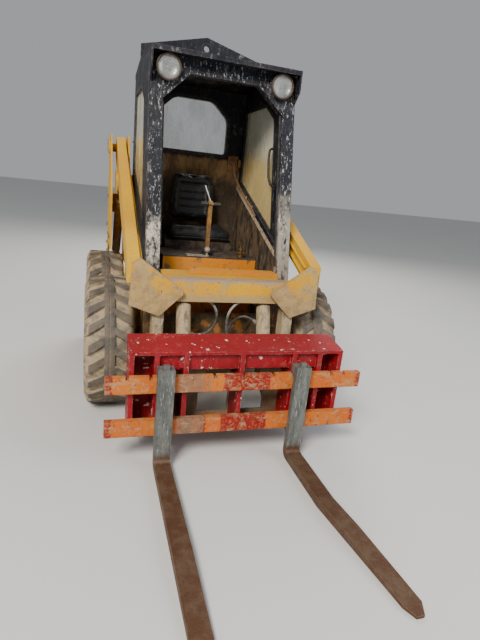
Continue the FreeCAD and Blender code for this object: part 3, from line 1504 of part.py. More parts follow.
def make_cylinders():
    """Tilt cylinders at the front and lift cylinders in the towers."""
    # name, place, barrel's pin, rod's eye, barrel, rod, free run, barrel's share
    table = [
        ("tilt", dim.tilt_place, tilt_top, tilt_eye,
         dim.tilt_barrel, dim.tilt_rod, dim.tilt_rod_back, dim.tilt_share),
        ("lift", lift_place, lift_base, lift_eye,
         dim.lift_barrel, dim.lift_rod, dim.lift_rod_back, dim.lift_share),
    ]
    for row in table:
        make_cylinder(*row)


def make_coupler():
    """Coupler plate with ports, ears for the legs' pins and lugs for the tilt rods."""
    body = new_body("coupler_frame")
    front = -dim.coupler_front
    back = front + dim.coupler_plate
    half = dim.coupler_half
    plate = box_outline(-half, half, dim.coupler_low, dim.coupler_top)
    extrude(body, "Y", front, back, [plate])
    port = box_outline(dim.port_in, dim.port_out, dim.port_low, dim.port_high)
    slot = box_outline(dim.slot_in, dim.slot_out, dim.slot_low, dim.slot_high)
    holes = [port, mirrored(port), slot, mirrored(slot)]
    extrude(body, "Y", front - 1, back + 1, holes, cut=True)
    along, up = leg_joint
    reach = dim.ear_reach
    ear = [
        (back - 1, dim.coupler_low + dim.coupler_plate),
        (along + 10, up - reach),
        (along + reach, up),
        (along + 10, up + reach),
        (back - 1, up + 4 * reach),
    ]
    eye_along, eye_up = tilt_eye
    eye = dim.eye_radius
    rod_lug = [
        (back - 1, up - dim.leg_pin),
        (eye_along - eye, eye_up - 2 * eye),
        (eye_along + eye - 2, eye_up - eye),
        (eye_along + eye - 2, eye_up + eye / 2),
        (eye_along + 6, eye_up + eye),
        (eye_along - dim.rod_lug_run, eye_up + eye),
        (back - 1, eye_up + dim.rod_lug_rise),
    ]
    gap = dim.leg_wide / 2 + dim.ear_gap
    for side in SIDES:
        middle = dim.leg_place * side
        for low in (middle - gap - dim.ear_plate, middle + gap):
            extrude(body, "X", low, low + dim.ear_plate, [ear])
        extrude(body, "X", middle - gap - 1, middle + gap + 1, [(leg_joint, dim.leg_pin)])
        for low in lug_places(dim.tilt_place * side):
            extrude(body, "X", low, low + dim.lug_plate, [rod_lug])
    place(body)


def make_fork_frame():
    """Red attachment frame: sloping top plate, web, ribs, end boxes and a low shelf."""
    body = new_body("fork_frame")
    rear = -dim.coupler_front
    front = -dim.frame_front
    half = dim.frame_half_wide
    plate = dim.frame_plate
    top_rear = rear + dim.top_back
    top_front = dim.frame_top - dim.top_drop
    top = [
        (top_rear, dim.frame_top),
        (top_rear, dim.frame_top - plate),
        (front, top_front - plate),
        (front, top_front),
    ]
    extrude(body, "X", -half, half, [top])
    web = box_outline(RIBS[0], RIBS[-1], dim.web_low, top_front - plate / 2)
    web_front = front + dim.web_in
    extrude(body, "Y", web_front, web_front + plate, [web])
    shelf = box_outline(front, rear, dim.frame_low, dim.frame_low + plate)
    extrude(body, "X", -half, half, [shelf])
    # rear plates close the two end boxes only
    end = box_outline(RIBS[-1], half, dim.frame_low, dim.coupler_top)
    extrude(body, "Y", rear - plate, rear, [end, mirrored(end)])
    rib = [
        (rear, dim.frame_low + 1),
        (front, dim.frame_low + 1),
        (front, top_front - plate / 2),
        (top_rear, dim.frame_top - plate / 2),
        (rear, dim.coupler_top + dim.fit_gap),
    ]
    edge = dim.frame_rib / 2
    for middle in (-half + edge, *RIBS, half - edge):
        extrude(body, "X", middle - edge, middle + edge, [rib])
    # small latch lugs under the top plate, in front of the web
    lug = dim.latch_lug
    lug_low = dim.bar_top + dim.latch_rise
    for side in SIDES:
        middle = dim.latch_place * side
        foot = box_outline(middle - lug / 2, middle + lug / 2, lug_low, lug_low + lug)
        extrude(body, "Y", front + 4, web_front + 1, [foot])
    place(body)


def make_carriage():
    """Upper and lower carriage bars that the forks hang on, the upper one notched."""
    body = new_body("carriage_bars")
    front = -dim.bar_front
    back = front + dim.bar_thick
    half = dim.bar_half
    upper = box_outline(-half, half, dim.bar_top - dim.bar_tall, dim.bar_top)
    lower = box_outline(-half, half, dim.bar_low, dim.bar_low + dim.bar_tall)
    extrude(body, "Y", front, back, [upper])
    edge = dim.notch_wide / 2
    low = dim.bar_top - dim.notch_deep
    notches = []
    for middle in NOTCHES:
        notches.append(box_outline(middle - edge, middle + edge, low, dim.bar_top + 1))
    extrude(body, "Y", front - 1, back + 1, notches, cut=True)
    extrude(body, "Y", front, back, [lower])
    place(body)


def make_forks():
    """L shaped forks: shank with hooks on the bars, and a tapered blade on the ground.

    The right blade is bent outwards from its knee to its tip.
    """
    shank_back = -dim.bar_front - dim.fit_gap
    shank_front = shank_back - dim.fork_thick
    low = dim.fork_ground
    blade_top = low + dim.fork_thick
    tip = -dim.fork_tip_reach
    top = dim.bar_top + dim.hook_rise
    hook_low = dim.bar_low - dim.fit_gap
    hook_back = -dim.bar_front + dim.bar_thick
    outline = [
        (shank_back, low),
        (tip, low),
        (tip, low + dim.fork_tip_thick),
        (tip + dim.fork_taper, blade_top),
        (shank_front, blade_top),
        (shank_front, top),
        (hook_back, top),
        (hook_back, dim.bar_top + dim.fit_gap),
        (shank_back, dim.bar_top + dim.fit_gap),
        (shank_back, hook_low),
        (hook_back, hook_low),
        (hook_back, hook_low - dim.hook_drop / 2),
        (shank_back, hook_low - dim.hook_drop),
    ]
    half = dim.fork_wide / 2
    knee = -dim.fork_knee
    corner = dim.fork_tip_side
    corner_back = tip + dim.fork_tip_long
    # name, middle, sideways bend of the tip
    forks = [
        ("left", dim.fork_left_place, as_size(0)),
        ("right", dim.fork_right_place, dim.fork_splay),
    ]
    for name, middle, splay in forks:
        body = new_body(f"fork_{name}")
        inner = middle - half
        outer = middle + half
        extrude(body, "X", inner, outer + splay, [outline])
        round_corners(body, "X", [(shank_back, low)], dim.heel_outer)
        round_corners(body, "X", [(shank_front, blade_top)], dim.heel_inner)
        inner_waste = [
            (inner - 1, knee),
            (inner - 1, tip - 1),
            (inner + splay + corner, tip - 1),
            (inner + splay + corner, tip),
            (inner + splay, corner_back),
            (inner, knee),
        ]
        outer_waste = [
            (outer, hook_back + 1),
            (outer, knee),
            (outer + splay, corner_back),
            (outer + splay - corner, tip),
            (outer + splay - corner, tip - 1),
            (outer + splay + 1, tip - 1),
            (outer + splay + 1, hook_back + 1),
        ]
        extrude(body, "Z", low - 1, top + 1, [inner_waste], cut=True)
        extrude(body, "Z", low - 1, top + 1, [outer_waste], cut=True)
        knob = box_outline(middle - dim.knob_half, middle + dim.knob_half, top - 1, top + dim.knob_rise)
        knob_front = shank_front + dim.knob_in
        extrude(body, "Y", knob_front, knob_front + 2 * dim.knob_half, [knob])
        place(body)


for make in (
    make_chassis,
    make_axle_housings,
    make_wheels,
    make_cab_front,
    make_cab_sides,
    make_side_windows,
    make_cab_rear,
    make_roof,
    make_work_lamps,
    make_seat,
    make_lever,
    make_engine,
    make_hood,
    make_rear_posts,
    make_rear_door,
    make_bumper,
    make_towers,
    make_lift_arms,
    make_cross_member,
    make_front_plates,
    make_legs,
    make_pipes,
    make_cylinders,
    make_coupler,
    make_fork_frame,
    make_carriage,
    make_forks,
):
    make()

doc.recompute()
faults = []
for item in doc.Objects:
    if "Invalid" in item.State or "Error" in item.State:
        faults.append(item.Name)
for piece in PIECES:
    shape = piece.Shape
    if shape.isNull() or not shape.isValid():
        faults.append(piece.Label)
if faults:
    raise RuntimeError(f"these objects failed: {sorted(set(faults))}")

os.makedirs("parts", exist_ok=True)
for piece in PIECES:
    piece.Shape.exportStep(f"parts/{piece.Label}.step")
    print(f"{piece.Label}: {len(piece.Shape.Solids)} solids")
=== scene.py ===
# %% [markdown]
# A skid steer loader with a pallet fork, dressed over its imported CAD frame.
# The CAD model is imported once and never moved: every piece made here is placed from
# the boxes of its nodes, and rides on one of its bodies, so that the looks follow the joints.

# %% Load the frame
import math

import bmesh
import bpy
from mathutils import Matrix, Vector


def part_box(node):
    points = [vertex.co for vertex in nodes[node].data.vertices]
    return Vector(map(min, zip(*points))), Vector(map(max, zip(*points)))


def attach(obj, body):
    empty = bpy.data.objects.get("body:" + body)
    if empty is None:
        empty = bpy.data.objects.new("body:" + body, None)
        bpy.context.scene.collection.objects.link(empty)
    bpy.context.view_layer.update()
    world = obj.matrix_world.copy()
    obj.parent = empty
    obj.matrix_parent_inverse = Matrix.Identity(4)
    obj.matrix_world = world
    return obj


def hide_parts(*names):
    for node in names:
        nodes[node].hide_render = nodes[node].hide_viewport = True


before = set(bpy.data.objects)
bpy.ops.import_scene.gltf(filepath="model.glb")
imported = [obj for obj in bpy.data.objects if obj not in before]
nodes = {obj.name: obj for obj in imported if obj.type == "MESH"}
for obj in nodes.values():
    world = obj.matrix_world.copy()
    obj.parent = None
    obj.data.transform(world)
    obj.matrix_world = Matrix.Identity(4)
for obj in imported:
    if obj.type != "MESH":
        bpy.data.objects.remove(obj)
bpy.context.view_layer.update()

# %% [markdown]
# The camera stands where the photographer stood: in front, a little to the machine's
# right, at head height and tilted down. Its three axes were fitted to the photograph,
# and a 26 mm lens on a 36 mm sensor gives its wide view.

# %% Camera
camera = bpy.data.objects.new("photo_camera", bpy.data.cameras.new("photo_camera"))
bpy.context.scene.collection.objects.link(camera)
camera.data.lens = 26.17
camera.data.sensor_width = 36
camera.data.clip_end = 200
camera_right = Vector((0.95226, -0.28796, 0.10137))
camera_up = Vector((-0.01168, 0.29744, 0.95466))
camera_back = Vector((-0.30507, -0.91027, 0.27988))
camera.matrix_world = Matrix((camera_right, camera_up, camera_back)).transposed().to_4x4()
camera.location = (-0.726, -2.6845, 1.382)
bpy.context.scene.camera = camera
print("camera at", [round(v, 2) for v in camera.location])

# %% [markdown]
# Lengths on a loader are measured from the middle of its wheelbase. The four tyres' boxes
# give that place in the frame, and at() turns a measured point into a point of the frame.

# %% Where lengths are measured from
ends_and_sides = [(end, side) for end in ("front", "rear") for side in ("left", "right")]
tyre_boxes = {key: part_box(f"tyre_{key[0]}_{key[1]}") for key in ends_and_sides}
wheel_middle = sum(low[1] + high[1] for low, high in tyre_boxes.values()) / 8
SIDES = (-1, 1)


def at(across, along, up):
    return Vector((across, along + wheel_middle, up))


print("middle of the wheelbase at", round(wheel_middle, 4))

# %% [markdown]
# Every piece made below is a set of closed solids in one mesh. The Shape helper gathers
# them: skin() joins rings of points, and plate(), lathe() and sweep() make the rings of a
# flat plate, a turned part and a bar that follows a path. done() turns the mesh into an
# object that rides on a body and takes a finish.

# %% Shape helper
class Shape:
    """Closed solids gathered in one mesh, which becomes one piece."""

    def __init__(self):
        self.mesh = bmesh.new()

    def skin(self, rings, closed=False):
        made = [[self.mesh.verts.new(point) for point in ring] for ring in rings]
        pairs = list(zip(made, made[1:] + made[:1]))
        for low, high in pairs if closed else pairs[:-1]:
            for here in range(len(low)):
                there = (here + 1) % len(low)
                self.mesh.faces.new((low[here], low[there], high[there], high[here]))
        if not closed:
            self.mesh.faces.new(reversed(made[0]))
            self.mesh.faces.new(made[-1])

    def block(self, low, high):
        corners = [(low[0], low[1]), (high[0], low[1]), (high[0], high[1]), (low[0], high[1])]
        self.skin([[Vector((x, y, up)) for x, y in corners] for up in (low[2], high[2])])

    def plate(self, outline, thick):
        self.skin([outline, [point + Vector(thick) for point in outline]])

    def lathe(self, centre, axis, profile, steps=32, closed=False):
        axis = Vector(axis).normalized()
        side = axis.orthogonal().normalized()
        other = axis.cross(side)
        rings = []
        for along, radius in profile:
            angles = [2 * math.pi * k / steps for k in range(steps)]
            rings.append([Vector(centre) + axis * along
                          + (side * math.cos(a) + other * math.sin(a)) * radius for a in angles])
        self.skin(rings, closed)

    def rod(self, start, end, radius, steps=16):
        run = Vector(end) - Vector(start)
        self.lathe(start, run, [(0, radius), (run.length, radius)], steps)

    def sweep(self, path, section, closed=False, up=(0, 0, 1)):
        rings = []
        count = len(path)
        for here in range(count):
            ahead = path[(here + 1) % count] if closed or here + 1 < count else path[here]
            behind = path[here - 1] if closed or here else path[here]
            along = (ahead - behind).normalized()
            side = along.cross(Vector(up)).normalized()
            rise = side.cross(along)
            rings.append([path[here] + side * u + rise * v for u, v in section])
        self.skin(rings, closed)

    def done(self, name, finish, body, slot, bevel=0.0, sharp=35):
        bmesh.ops.recalc_face_normals(self.mesh, faces=self.mesh.faces)
        mesh = bpy.data.meshes.new(name)
        self.mesh.to_mesh(mesh)
        self.mesh.free()
        return piece_of(mesh, name, finish, body, bevel, sharp)


def piece_of(mesh, name, finish, body, bevel=0.0, sharp=35):
    thing = bpy.data.objects.new(name, mesh)
    bpy.context.scene.collection.objects.link(thing)
    mesh.materials.clear()
    mesh.materials.append(finish)
    mesh.polygons.foreach_set("use_smooth", [True] * len(mesh.polygons))
    mesh.set_sharp_from_angle(angle=math.radians(sharp))
    if bevel:
        softened = thing.modifiers.new("softened_edges", "BEVEL")
        softened.width, softened.segments = bevel, 2
        softened.limit_method, softened.angle_limit = "ANGLE", math.radians(40)
    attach(thing, body)
    return thing


def round_section(radius, steps=12):
    angles = [2 * math.pi * k / steps for k in range(steps)]
    return [(radius * math.cos(a), radius * math.sin(a)) for a in angles]


def flat_section(wide, tall):
    return [(-wide / 2, -tall / 2), (wide / 2, -tall / 2), (wide / 2, tall / 2), (-wide / 2, tall / 2)]


def rounded(points, radius, closed=True, steps=5):
    """The same path with each corner drawn as a curve."""
    path = []
    count = len(points)
    for here, point in enumerate(points):
        if not closed and here in (0, count - 1):
            path.append(Vector(point))
            continue
        back = (points[here - 1] - point).normalized() * radius
        ahead = (points[(here + 1) % count] - point).normalized() * radius
        for k in range(steps + 1):
            t = k / steps
            path.append(point + back * (1 - t) ** 2 + ahead * t ** 2)
    return path


print("helpers ready")

# %% [markdown]
# Light comes from big soft panels: a warm one high at the front left, a cool one on the
# right, and one behind that draws the roof's edge. The floor is plain and pale.

# %% Lights and floor
def soft_light(name, place, aim, size, power, tint):
    lamp = bpy.data.lights.new(name, "AREA")
    lamp.size, lamp.energy, lamp.color = size, power, tint
    thing = bpy.data.objects.new(name, lamp)
    bpy.context.scene.collection.objects.link(thing)
    thing.location = place
    thing.rotation_euler = (Vector(aim) - Vector(place)).to_track_quat("-Z", "Y").to_euler()


soft_light("key", (-4.0, -5.5, 5.8), (0, 0, 0.9), 2.6, 1050, (1.0, 0.94, 0.86))
soft_light("fill", (5.5, -3.5, 3.5), (0, 0, 0.9), 4.0, 240, (0.86, 0.92, 1.0))
soft_light("rim", (2.0, 6.0, 5.0), (0, 0.5, 1.2), 3.5, 360, (1.0, 0.97, 0.92))

world = bpy.data.worlds.new("studio")
world.use_nodes = True
world.node_tree.nodes["Background"].inputs["Color"].default_value = (0.80, 0.82, 0.85, 1)
world.node_tree.nodes["Background"].inputs["Strength"].default_value = 0.46
bpy.context.scene.world = world

floor_mesh = bpy.data.meshes.new("floor")
floor_mesh.from_pydata([(-40, -40, 0), (40, -40, 0), (40, 40, 0), (-40, 40, 0)], [], [(0, 1, 2, 3)])
floor = bpy.data.objects.new("floor", floor_mesh)
bpy.context.scene.collection.objects.link(floor)
print("lights and floor ready")

# %% [markdown]
# Every finish is a small node tree. A helper keeps them readable: each call adds one
# node and gives back its output, and all patterns read Object coordinates, in metres,
# so that a pattern keeps its real size on every piece.

# %% Material helper
class Finish:
    """One procedural material, with the Principled shader as its surface."""

    def __init__(self, name, roughness=0.5, metallic=0.0):
        self.material = bpy.data.materials.new(name)
        self.material.use_nodes = True
        self.tree = self.material.node_tree
        self.surface = self.tree.nodes["Principled BSDF"]
        self.surface.inputs["Roughness"].default_value = roughness
        self.surface.inputs["Metallic"].default_value = metallic
        self.place = self.tree.nodes.new("ShaderNodeTexCoord").outputs["Object"]
        self.facing = self.tree.nodes.new("ShaderNodeNewGeometry").outputs["Normal"]
        self.parts = {}

    def node(self, kind, output, **inputs):
        made = self.tree.nodes.new(kind)
        for name, value in inputs.items():
            self.feed(made.inputs[name], value)
        return made.outputs[output]

    def feed(self, socket, value):
        if isinstance(value, bpy.types.NodeSocket):
            self.tree.links.new(value, socket)
        else:
            socket.default_value = value

    def stretched(self, stretch, shift):
        made = self.tree.nodes.new("ShaderNodeMapping")
        self.tree.links.new(self.place, made.inputs["Vector"])
        made.inputs["Location"].default_value = (shift, shift * 1.7, shift * 0.6)
        made.inputs["Scale"].default_value = stretch
        return made.outputs["Vector"]

    def noise(self, size, detail=5, rough=0.6, stretch=(1, 1, 1), shift=0.0):
        return self.node("ShaderNodeTexNoise", "Fac", Vector=self.stretched(stretch, shift),
                         Scale=1 / size, Detail=detail, Roughness=rough)

    def cells(self, size, shift=0.0):
        return self.node("ShaderNodeTexVoronoi", "Distance",
                         Vector=self.stretched((1, 1, 1), shift), Scale=1 / size)

    def math(self, operation, first, second=0.0, clamp=True):
        made = self.tree.nodes.new("ShaderNodeMath")
        made.operation, made.use_clamp = operation, clamp
        for socket, value in zip(made.inputs, (first, second)):
            self.feed(socket, value)
        return made.outputs[0]

    def window(self, value, low, high):
        """0 where the value is under low, 1 where it is over high, smooth between."""
        made = self.tree.nodes.new("ShaderNodeMapRange")
        made.interpolation_type = "SMOOTHSTEP"
        for name, number in (("Value", value), ("From Min", low), ("From Max", high)):
            self.feed(made.inputs[name], number)
        return made.outputs["Result"]

    def mix(self, amount, first, second, way="MIX"):
        made = self.tree.nodes.new("ShaderNodeMix")
        made.data_type, made.blend_type = "RGBA", way
        self.feed(made.inputs[0], amount)
        self.feed(made.inputs[6], first)
        self.feed(made.inputs[7], second)
        return made.outputs[2]

    def axis(self, which, vector=None):
        key = (which, vector)
        if key not in self.parts:
            made = self.tree.nodes.new("ShaderNodeSeparateXYZ")
            self.tree.links.new(vector or self.place, made.inputs[0])
            self.parts[key] = made.outputs[which]
        return self.parts[key]

    def ragged(self, which, amount, size=0.02, shift=30.0):
        """A coordinate made uneven by noise, for edges that aren't straight."""
        wander = self.math("SUBTRACT", self.noise(size, 5, 0.7, shift=shift), 0.5, False)
        return self.math("ADD", self.axis(which), self.math("MULTIPLY", wander, amount, False), False)

    def between(self, value, low, high, soft=0.002):
        rising = self.window(value, low - soft, low + soft)
        return self.math("SUBTRACT", rising, self.window(value, high - soft, high + soft))

    def edges(self, width):
        """1 along sharp outside and inside edges, from the rounded normal of a bevel."""
        soft = self.tree.nodes.new("ShaderNodeBevel")
        soft.samples = 4
        soft.inputs["Radius"].default_value = width
        dot = self.tree.nodes.new("ShaderNodeVectorMath")
        dot.operation = "DOT_PRODUCT"
        self.tree.links.new(soft.outputs[0], dot.inputs[0])
        self.tree.links.new(self.facing, dot.inputs[1])
        return self.window(dot.outputs["Value"], 0.985, 0.80)

    def finish(self, colour, roughness=None, height=None, relief=0.002, strength=0.6, soften=0.0):
        self.feed(self.surface.inputs["Base Color"], colour)
        if roughness is not None:
            self.feed(self.surface.inputs["Roughness"], roughness)
        if height is not None:
            bump = self.node("ShaderNodeBump", "Normal", Height=height, Distance=relief, Strength=strength)
            if soften:
                soft = self.node("ShaderNodeBevel", "Normal", Radius=soften)
                self.tree.links.new(soft, bump.node.inputs["Normal"])
            self.tree.links.new(bump, self.surface.inputs["Normal"])
        return self.material


def rgb(red, green, blue):
    return (red, green, blue, 1)


def darker(colour, share):
    return tuple(part * share for part in colour[:3]) + (1,)


print("material helper ready")

# %% [markdown]
# Old machine paint is layered: the coat with sun-faded clouds in it, rain streaks down
# its sides, dust lying on whatever faces up, scuffs, and bare or rusty metal where the
# coat is knocked off, most of all along edges. One function holds those layers. Each coat
# on the machine is a call of it with its own colours and amounts, and a coat that changes
# from place to place gets a layout function, which paints other colours over part of it.

# %% Paint
pale_dust = rgb(0.34, 0.26, 0.15)
undercoat = rgb(0.30, 0.27, 0.24)
brown_rust = rgb(0.13, 0.055, 0.025)


def worn_paint(name, coat, faded, dust=pale_dust, bare=undercoat, dusty=0.5, scuffed=0.3,
               chipped=0.3, streaked=0.4, roughness=0.48, shift=0.0, layout=None):
    f = Finish(name)
    f.surface.inputs["Specular IOR Level"].default_value = 0.25
    clouds = f.window(f.noise(0.35, 5, 0.6, shift=shift), 0.38, 0.66)
    colour = f.mix(clouds, coat, faded)
    if layout:
        colour = layout(f, colour)
    streaks = f.noise(0.05, 5, 0.7, (3, 3, 0.22), shift + 3)
    colour = f.mix(f.math("MULTIPLY", f.window(streaks, 0.50, 0.72), streaked), colour, dust)
    grime = f.window(f.noise(0.012, 4, 0.7, shift=shift + 5), 0.45, 0.8)
    colour = f.mix(f.math("MULTIPLY", grime, 0.35), colour, darker(coat, 0.4))
    upward = f.window(f.axis(2, f.facing), 0.25, 0.95)
    patches = f.window(f.noise(0.14, 6, 0.65, shift=shift + 7), 0.40, 0.62)
    lying = f.math("MAXIMUM", f.math("MULTIPLY", upward, 0.9), f.math("MULTIPLY", patches, 0.7))
    colour = f.mix(f.math("MULTIPLY", lying, dusty), colour, dust)
    rub = f.window(f.noise(0.045, 6, 0.75, (1, 1, 0.5), shift + 9), 0.56, 0.66)
    colour = f.mix(f.math("MULTIPLY", rub, scuffed), colour, dust)
    worn = f.window(f.noise(0.03, 4, 0.7, shift=shift + 11), 0.42, 0.62)
    edge = f.math("MULTIPLY", f.edges(0.006), worn)
    rarity = 0.68 - 0.08 * chipped
    spots = f.window(f.noise(0.02, 5, 0.7, shift=shift + 13), rarity, rarity + 0.04)
    chips = f.math("MAXIMUM", edge, spots)
    rust = f.mix(f.window(f.noise(0.02, 4, 0.6, shift=shift + 15), 0.4, 0.65), bare, brown_rust)
    colour = f.mix(f.math("MULTIPLY", chips, min(1.0, 2.2 * chipped)), colour, rust)
    gloss = f.math("ADD", f.math("MULTIPLY", lying, 0.3), roughness)
    gloss = f.math("ADD", gloss, f.math("MULTIPLY", chips, 0.15))
    orange_peel = f.math("SUBTRACT", f.noise(0.008, 3), f.math("MULTIPLY", chips, 0.4))
    return f.finish(colour, gloss, orange_peel, 0.0015, 0.35, 0.003)


print("paint recipe ready")

# %% [markdown]
# The yellow of the arms, towers and chassis is one coat. The front plates and the cross
# member between them are the same yellow under far more pale dust, thickest low down.

# %% Yellow coats
yellow_paint = worn_paint("yellow_paint", rgb(0.60, 0.30, 0.0), rgb(0.64, 0.37, 0.0),
                          dusty=0.14, scuffed=0.3, chipped=0.55, streaked=0.2)


def low_dust(f, colour):
    """Pale dust that gets thicker towards the lower edge and leaves yellow patches."""
    rise = f.ragged(2, 0.16, 0.10)
    low = f.math("SUBTRACT", 1.0, f.window(rise, 0.74, 0.86))
    patch = f.window(f.noise(0.11, 6, 0.7, shift=41), 0.44, 0.52)
    grain = f.window(f.noise(0.008, 4, 0.7, shift=43), 0.30, 0.50)
    thick = f.math("MULTIPLY", f.math("MAXIMUM", low, patch), grain)
    grey = f.window(f.noise(0.05, 6, 0.7, shift=44), 0.40, 0.62)
    dust = f.mix(grey, rgb(0.35, 0.275, 0.145), rgb(0.21, 0.165, 0.10))
    return f.mix(f.math("MULTIPLY", thick, 0.9), colour, dust)


dusty_yellow = worn_paint("dusty_yellow_paint", rgb(0.58, 0.27, 0.001), rgb(0.56, 0.31, 0.01),
                          rgb(0.26, 0.20, 0.11), dusty=0.25, scuffed=0.4, chipped=0.8, streaked=0.2,
                          shift=2.0, layout=low_dust)


def cross_dust(f, colour):
    """Clean yellow above, dust on the lower third and purple-grey dirt along the top."""
    rise = f.ragged(2, 0.05, 0.05)
    low = f.math("SUBTRACT", 1.0, f.window(rise, 0.762, 0.795))
    patch = f.window(f.noise(0.10, 6, 0.75, (0.6, 1, 1), 45), 0.50, 0.56)
    grain = f.window(f.noise(0.008, 4, 0.7, shift=47), 0.30, 0.50)
    thick = f.math("MULTIPLY", f.math("MAXIMUM", low, f.math("MULTIPLY", patch, 0.8)), grain)
    colour = f.mix(f.math("MULTIPLY", thick, 0.85), colour, rgb(0.33, 0.26, 0.14))
    top = f.window(f.ragged(2, 0.02, 0.04), 0.842, 0.852)
    broken = f.window(f.noise(0.05, 5, 0.7, shift=49), 0.36, 0.50)
    return f.mix(f.math("MULTIPLY", f.math("MULTIPLY", top, broken), 0.8), colour, rgb(0.28, 0.22, 0.21))


cross_yellow = worn_paint("cross_member_yellow", rgb(0.62, 0.29, 0.0), rgb(0.62, 0.34, 0.004),
                          rgb(0.26, 0.20, 0.11), dusty=0.15, scuffed=0.35, chipped=0.8, streaked=0.2,
                          shift=2.6, layout=cross_dust)


def shaded_front(f, colour):
    """The plate between the front wheels is painted near black as shade, with brown-orange patches."""
    ahead = f.math("LESS_THAN", f.axis(1), -0.60 + wheel_middle)
    low = f.math("SUBTRACT", 1.0, f.window(f.ragged(2, 0.03, 0.03), 0.835, 0.850))
    orange = f.window(f.noise(0.09, 5, 0.65, shift=55), 0.52, 0.62)
    # painted shade: near black with dim orange patches stands for the orange front plate lying in shade
    front_shade = f.mix(orange, rgb(0.022, 0.015, 0.010), rgb(0.30, 0.10, 0.015))
    return f.mix(f.math("MULTIPLY", f.math("MULTIPLY", ahead, low), 0.97), colour, front_shade)


frame_yellow = worn_paint("frame_yellow", rgb(0.56, 0.26, 0.0), rgb(0.58, 0.31, 0.004),
                          dusty=0.2, scuffed=0.2, chipped=0.35, streaked=0.2, shift=3.2, layout=shaded_front)
print("yellow coats ready")

# %% [markdown]
# The carriage bars were red once and orange later: bands of the red show at the ends, in
# the middle and behind the forks, with ragged edges, and dirt lies where the left fork
# has slid. The sill strip and the riser under the seat have the same orange, cleaner.

# %% Orange coats
def bar_bands(f, colour):
    across = f.ragged(0, 0.035, 0.018)
    red = rgb(0.22, 0.001, 0.006)
    lower = f.math("SUBTRACT", 1.0, f.window(f.axis(2), 0.30, 0.31))
    for low, high, share in ((-0.662, -0.630, 1), (-0.097, 0.150, 1), (0.640, 0.662, 1)):
        chipped = f.window(f.noise(0.016, 5, 0.75, shift=51), 0.40, 0.46)
        band = f.math("MULTIPLY", f.between(across, low, high, 0.003), chipped)
        colour = f.mix(f.math("MULTIPLY", band, share), colour, red)
    for low, high in ((-0.205, -0.175), (-0.30, -0.245)):
        band = f.math("MULTIPLY", f.between(across, low, high, 0.003), lower)
        colour = f.mix(f.math("MULTIPLY", band, 0.85), colour, darker(red, 0.7))
    dirt = f.math("MULTIPLY", f.between(across, -0.325, -0.190, 0.02), 0.75)
    colour = f.mix(dirt, colour, rgb(0.17, 0.12, 0.08))
    beige = f.window(f.noise(0.045, 6, 0.75, (1, 1, 1.6), 52), 0.53, 0.59)
    colour = f.mix(f.math("MULTIPLY", beige, 0.75), colour, rgb(0.36, 0.23, 0.115))
    brown = f.window(f.noise(0.03, 6, 0.75, shift=54), 0.57, 0.62)
    colour = f.mix(f.math("MULTIPLY", brown, 0.8), colour, rgb(0.075, 0.035, 0.018))
    # vertical cracks and drips, a hand's width apart
    seams = f.window(f.noise(0.022, 3, 0.6, (1, 1, 0.06), 53), 0.60, 0.66)
    return f.mix(f.math("MULTIPLY", seams, 0.75), colour, rgb(0.20, 0.13, 0.07))


bar_orange = worn_paint("carriage_orange", rgb(0.50, 0.095, 0.002), rgb(0.52, 0.145, 0.010),
                        rgb(0.34, 0.21, 0.11), rgb(0.12, 0.06, 0.035), dusty=0.12, scuffed=0.6,
                        chipped=0.55, streaked=0.25, shift=4.0, layout=bar_bands)
def riser_only(f, colour):
    """Orange on the console's front riser, and black with grime on the rest of the box."""
    front = f.math("LESS_THAN", f.axis(1, f.facing), -0.6)
    near = f.math("LESS_THAN", f.axis(1), -0.36 + wheel_middle)
    under = f.math("LESS_THAN", f.axis(2), 0.905)
    kept = f.math("MULTIPLY", f.math("MULTIPLY", front, near), under)
    scraped = f.window(f.noise(0.06, 6, 0.7, shift=57), 0.56, 0.62)
    colour = f.mix(scraped, colour, rgb(0.17, 0.10, 0.05))
    grime = f.mix(f.window(f.noise(0.05, 6, 0.7, shift=59), 0.42, 0.66), rgb(0.012, 0.011, 0.011),
                  rgb(0.09, 0.07, 0.055))
    return f.mix(kept, grime, colour)


orange_paint = worn_paint("orange_paint", rgb(0.62, 0.19, 0.0), rgb(0.62, 0.25, 0.004),
                          rgb(0.36, 0.24, 0.13), rgb(0.20, 0.13, 0.10), dusty=0.12, scuffed=0.25,
                          chipped=0.35, streaked=0.2, shift=5.0)
box_paint = worn_paint("seat_box_paint", rgb(0.60, 0.18, 0.002), rgb(0.56, 0.21, 0.01),
                       rgb(0.16, 0.13, 0.10), rgb(0.10, 0.08, 0.06), dusty=0.15, scuffed=0.2,
                       chipped=0.3, streaked=0.2, shift=5.6, layout=riser_only)
print("orange coats ready")
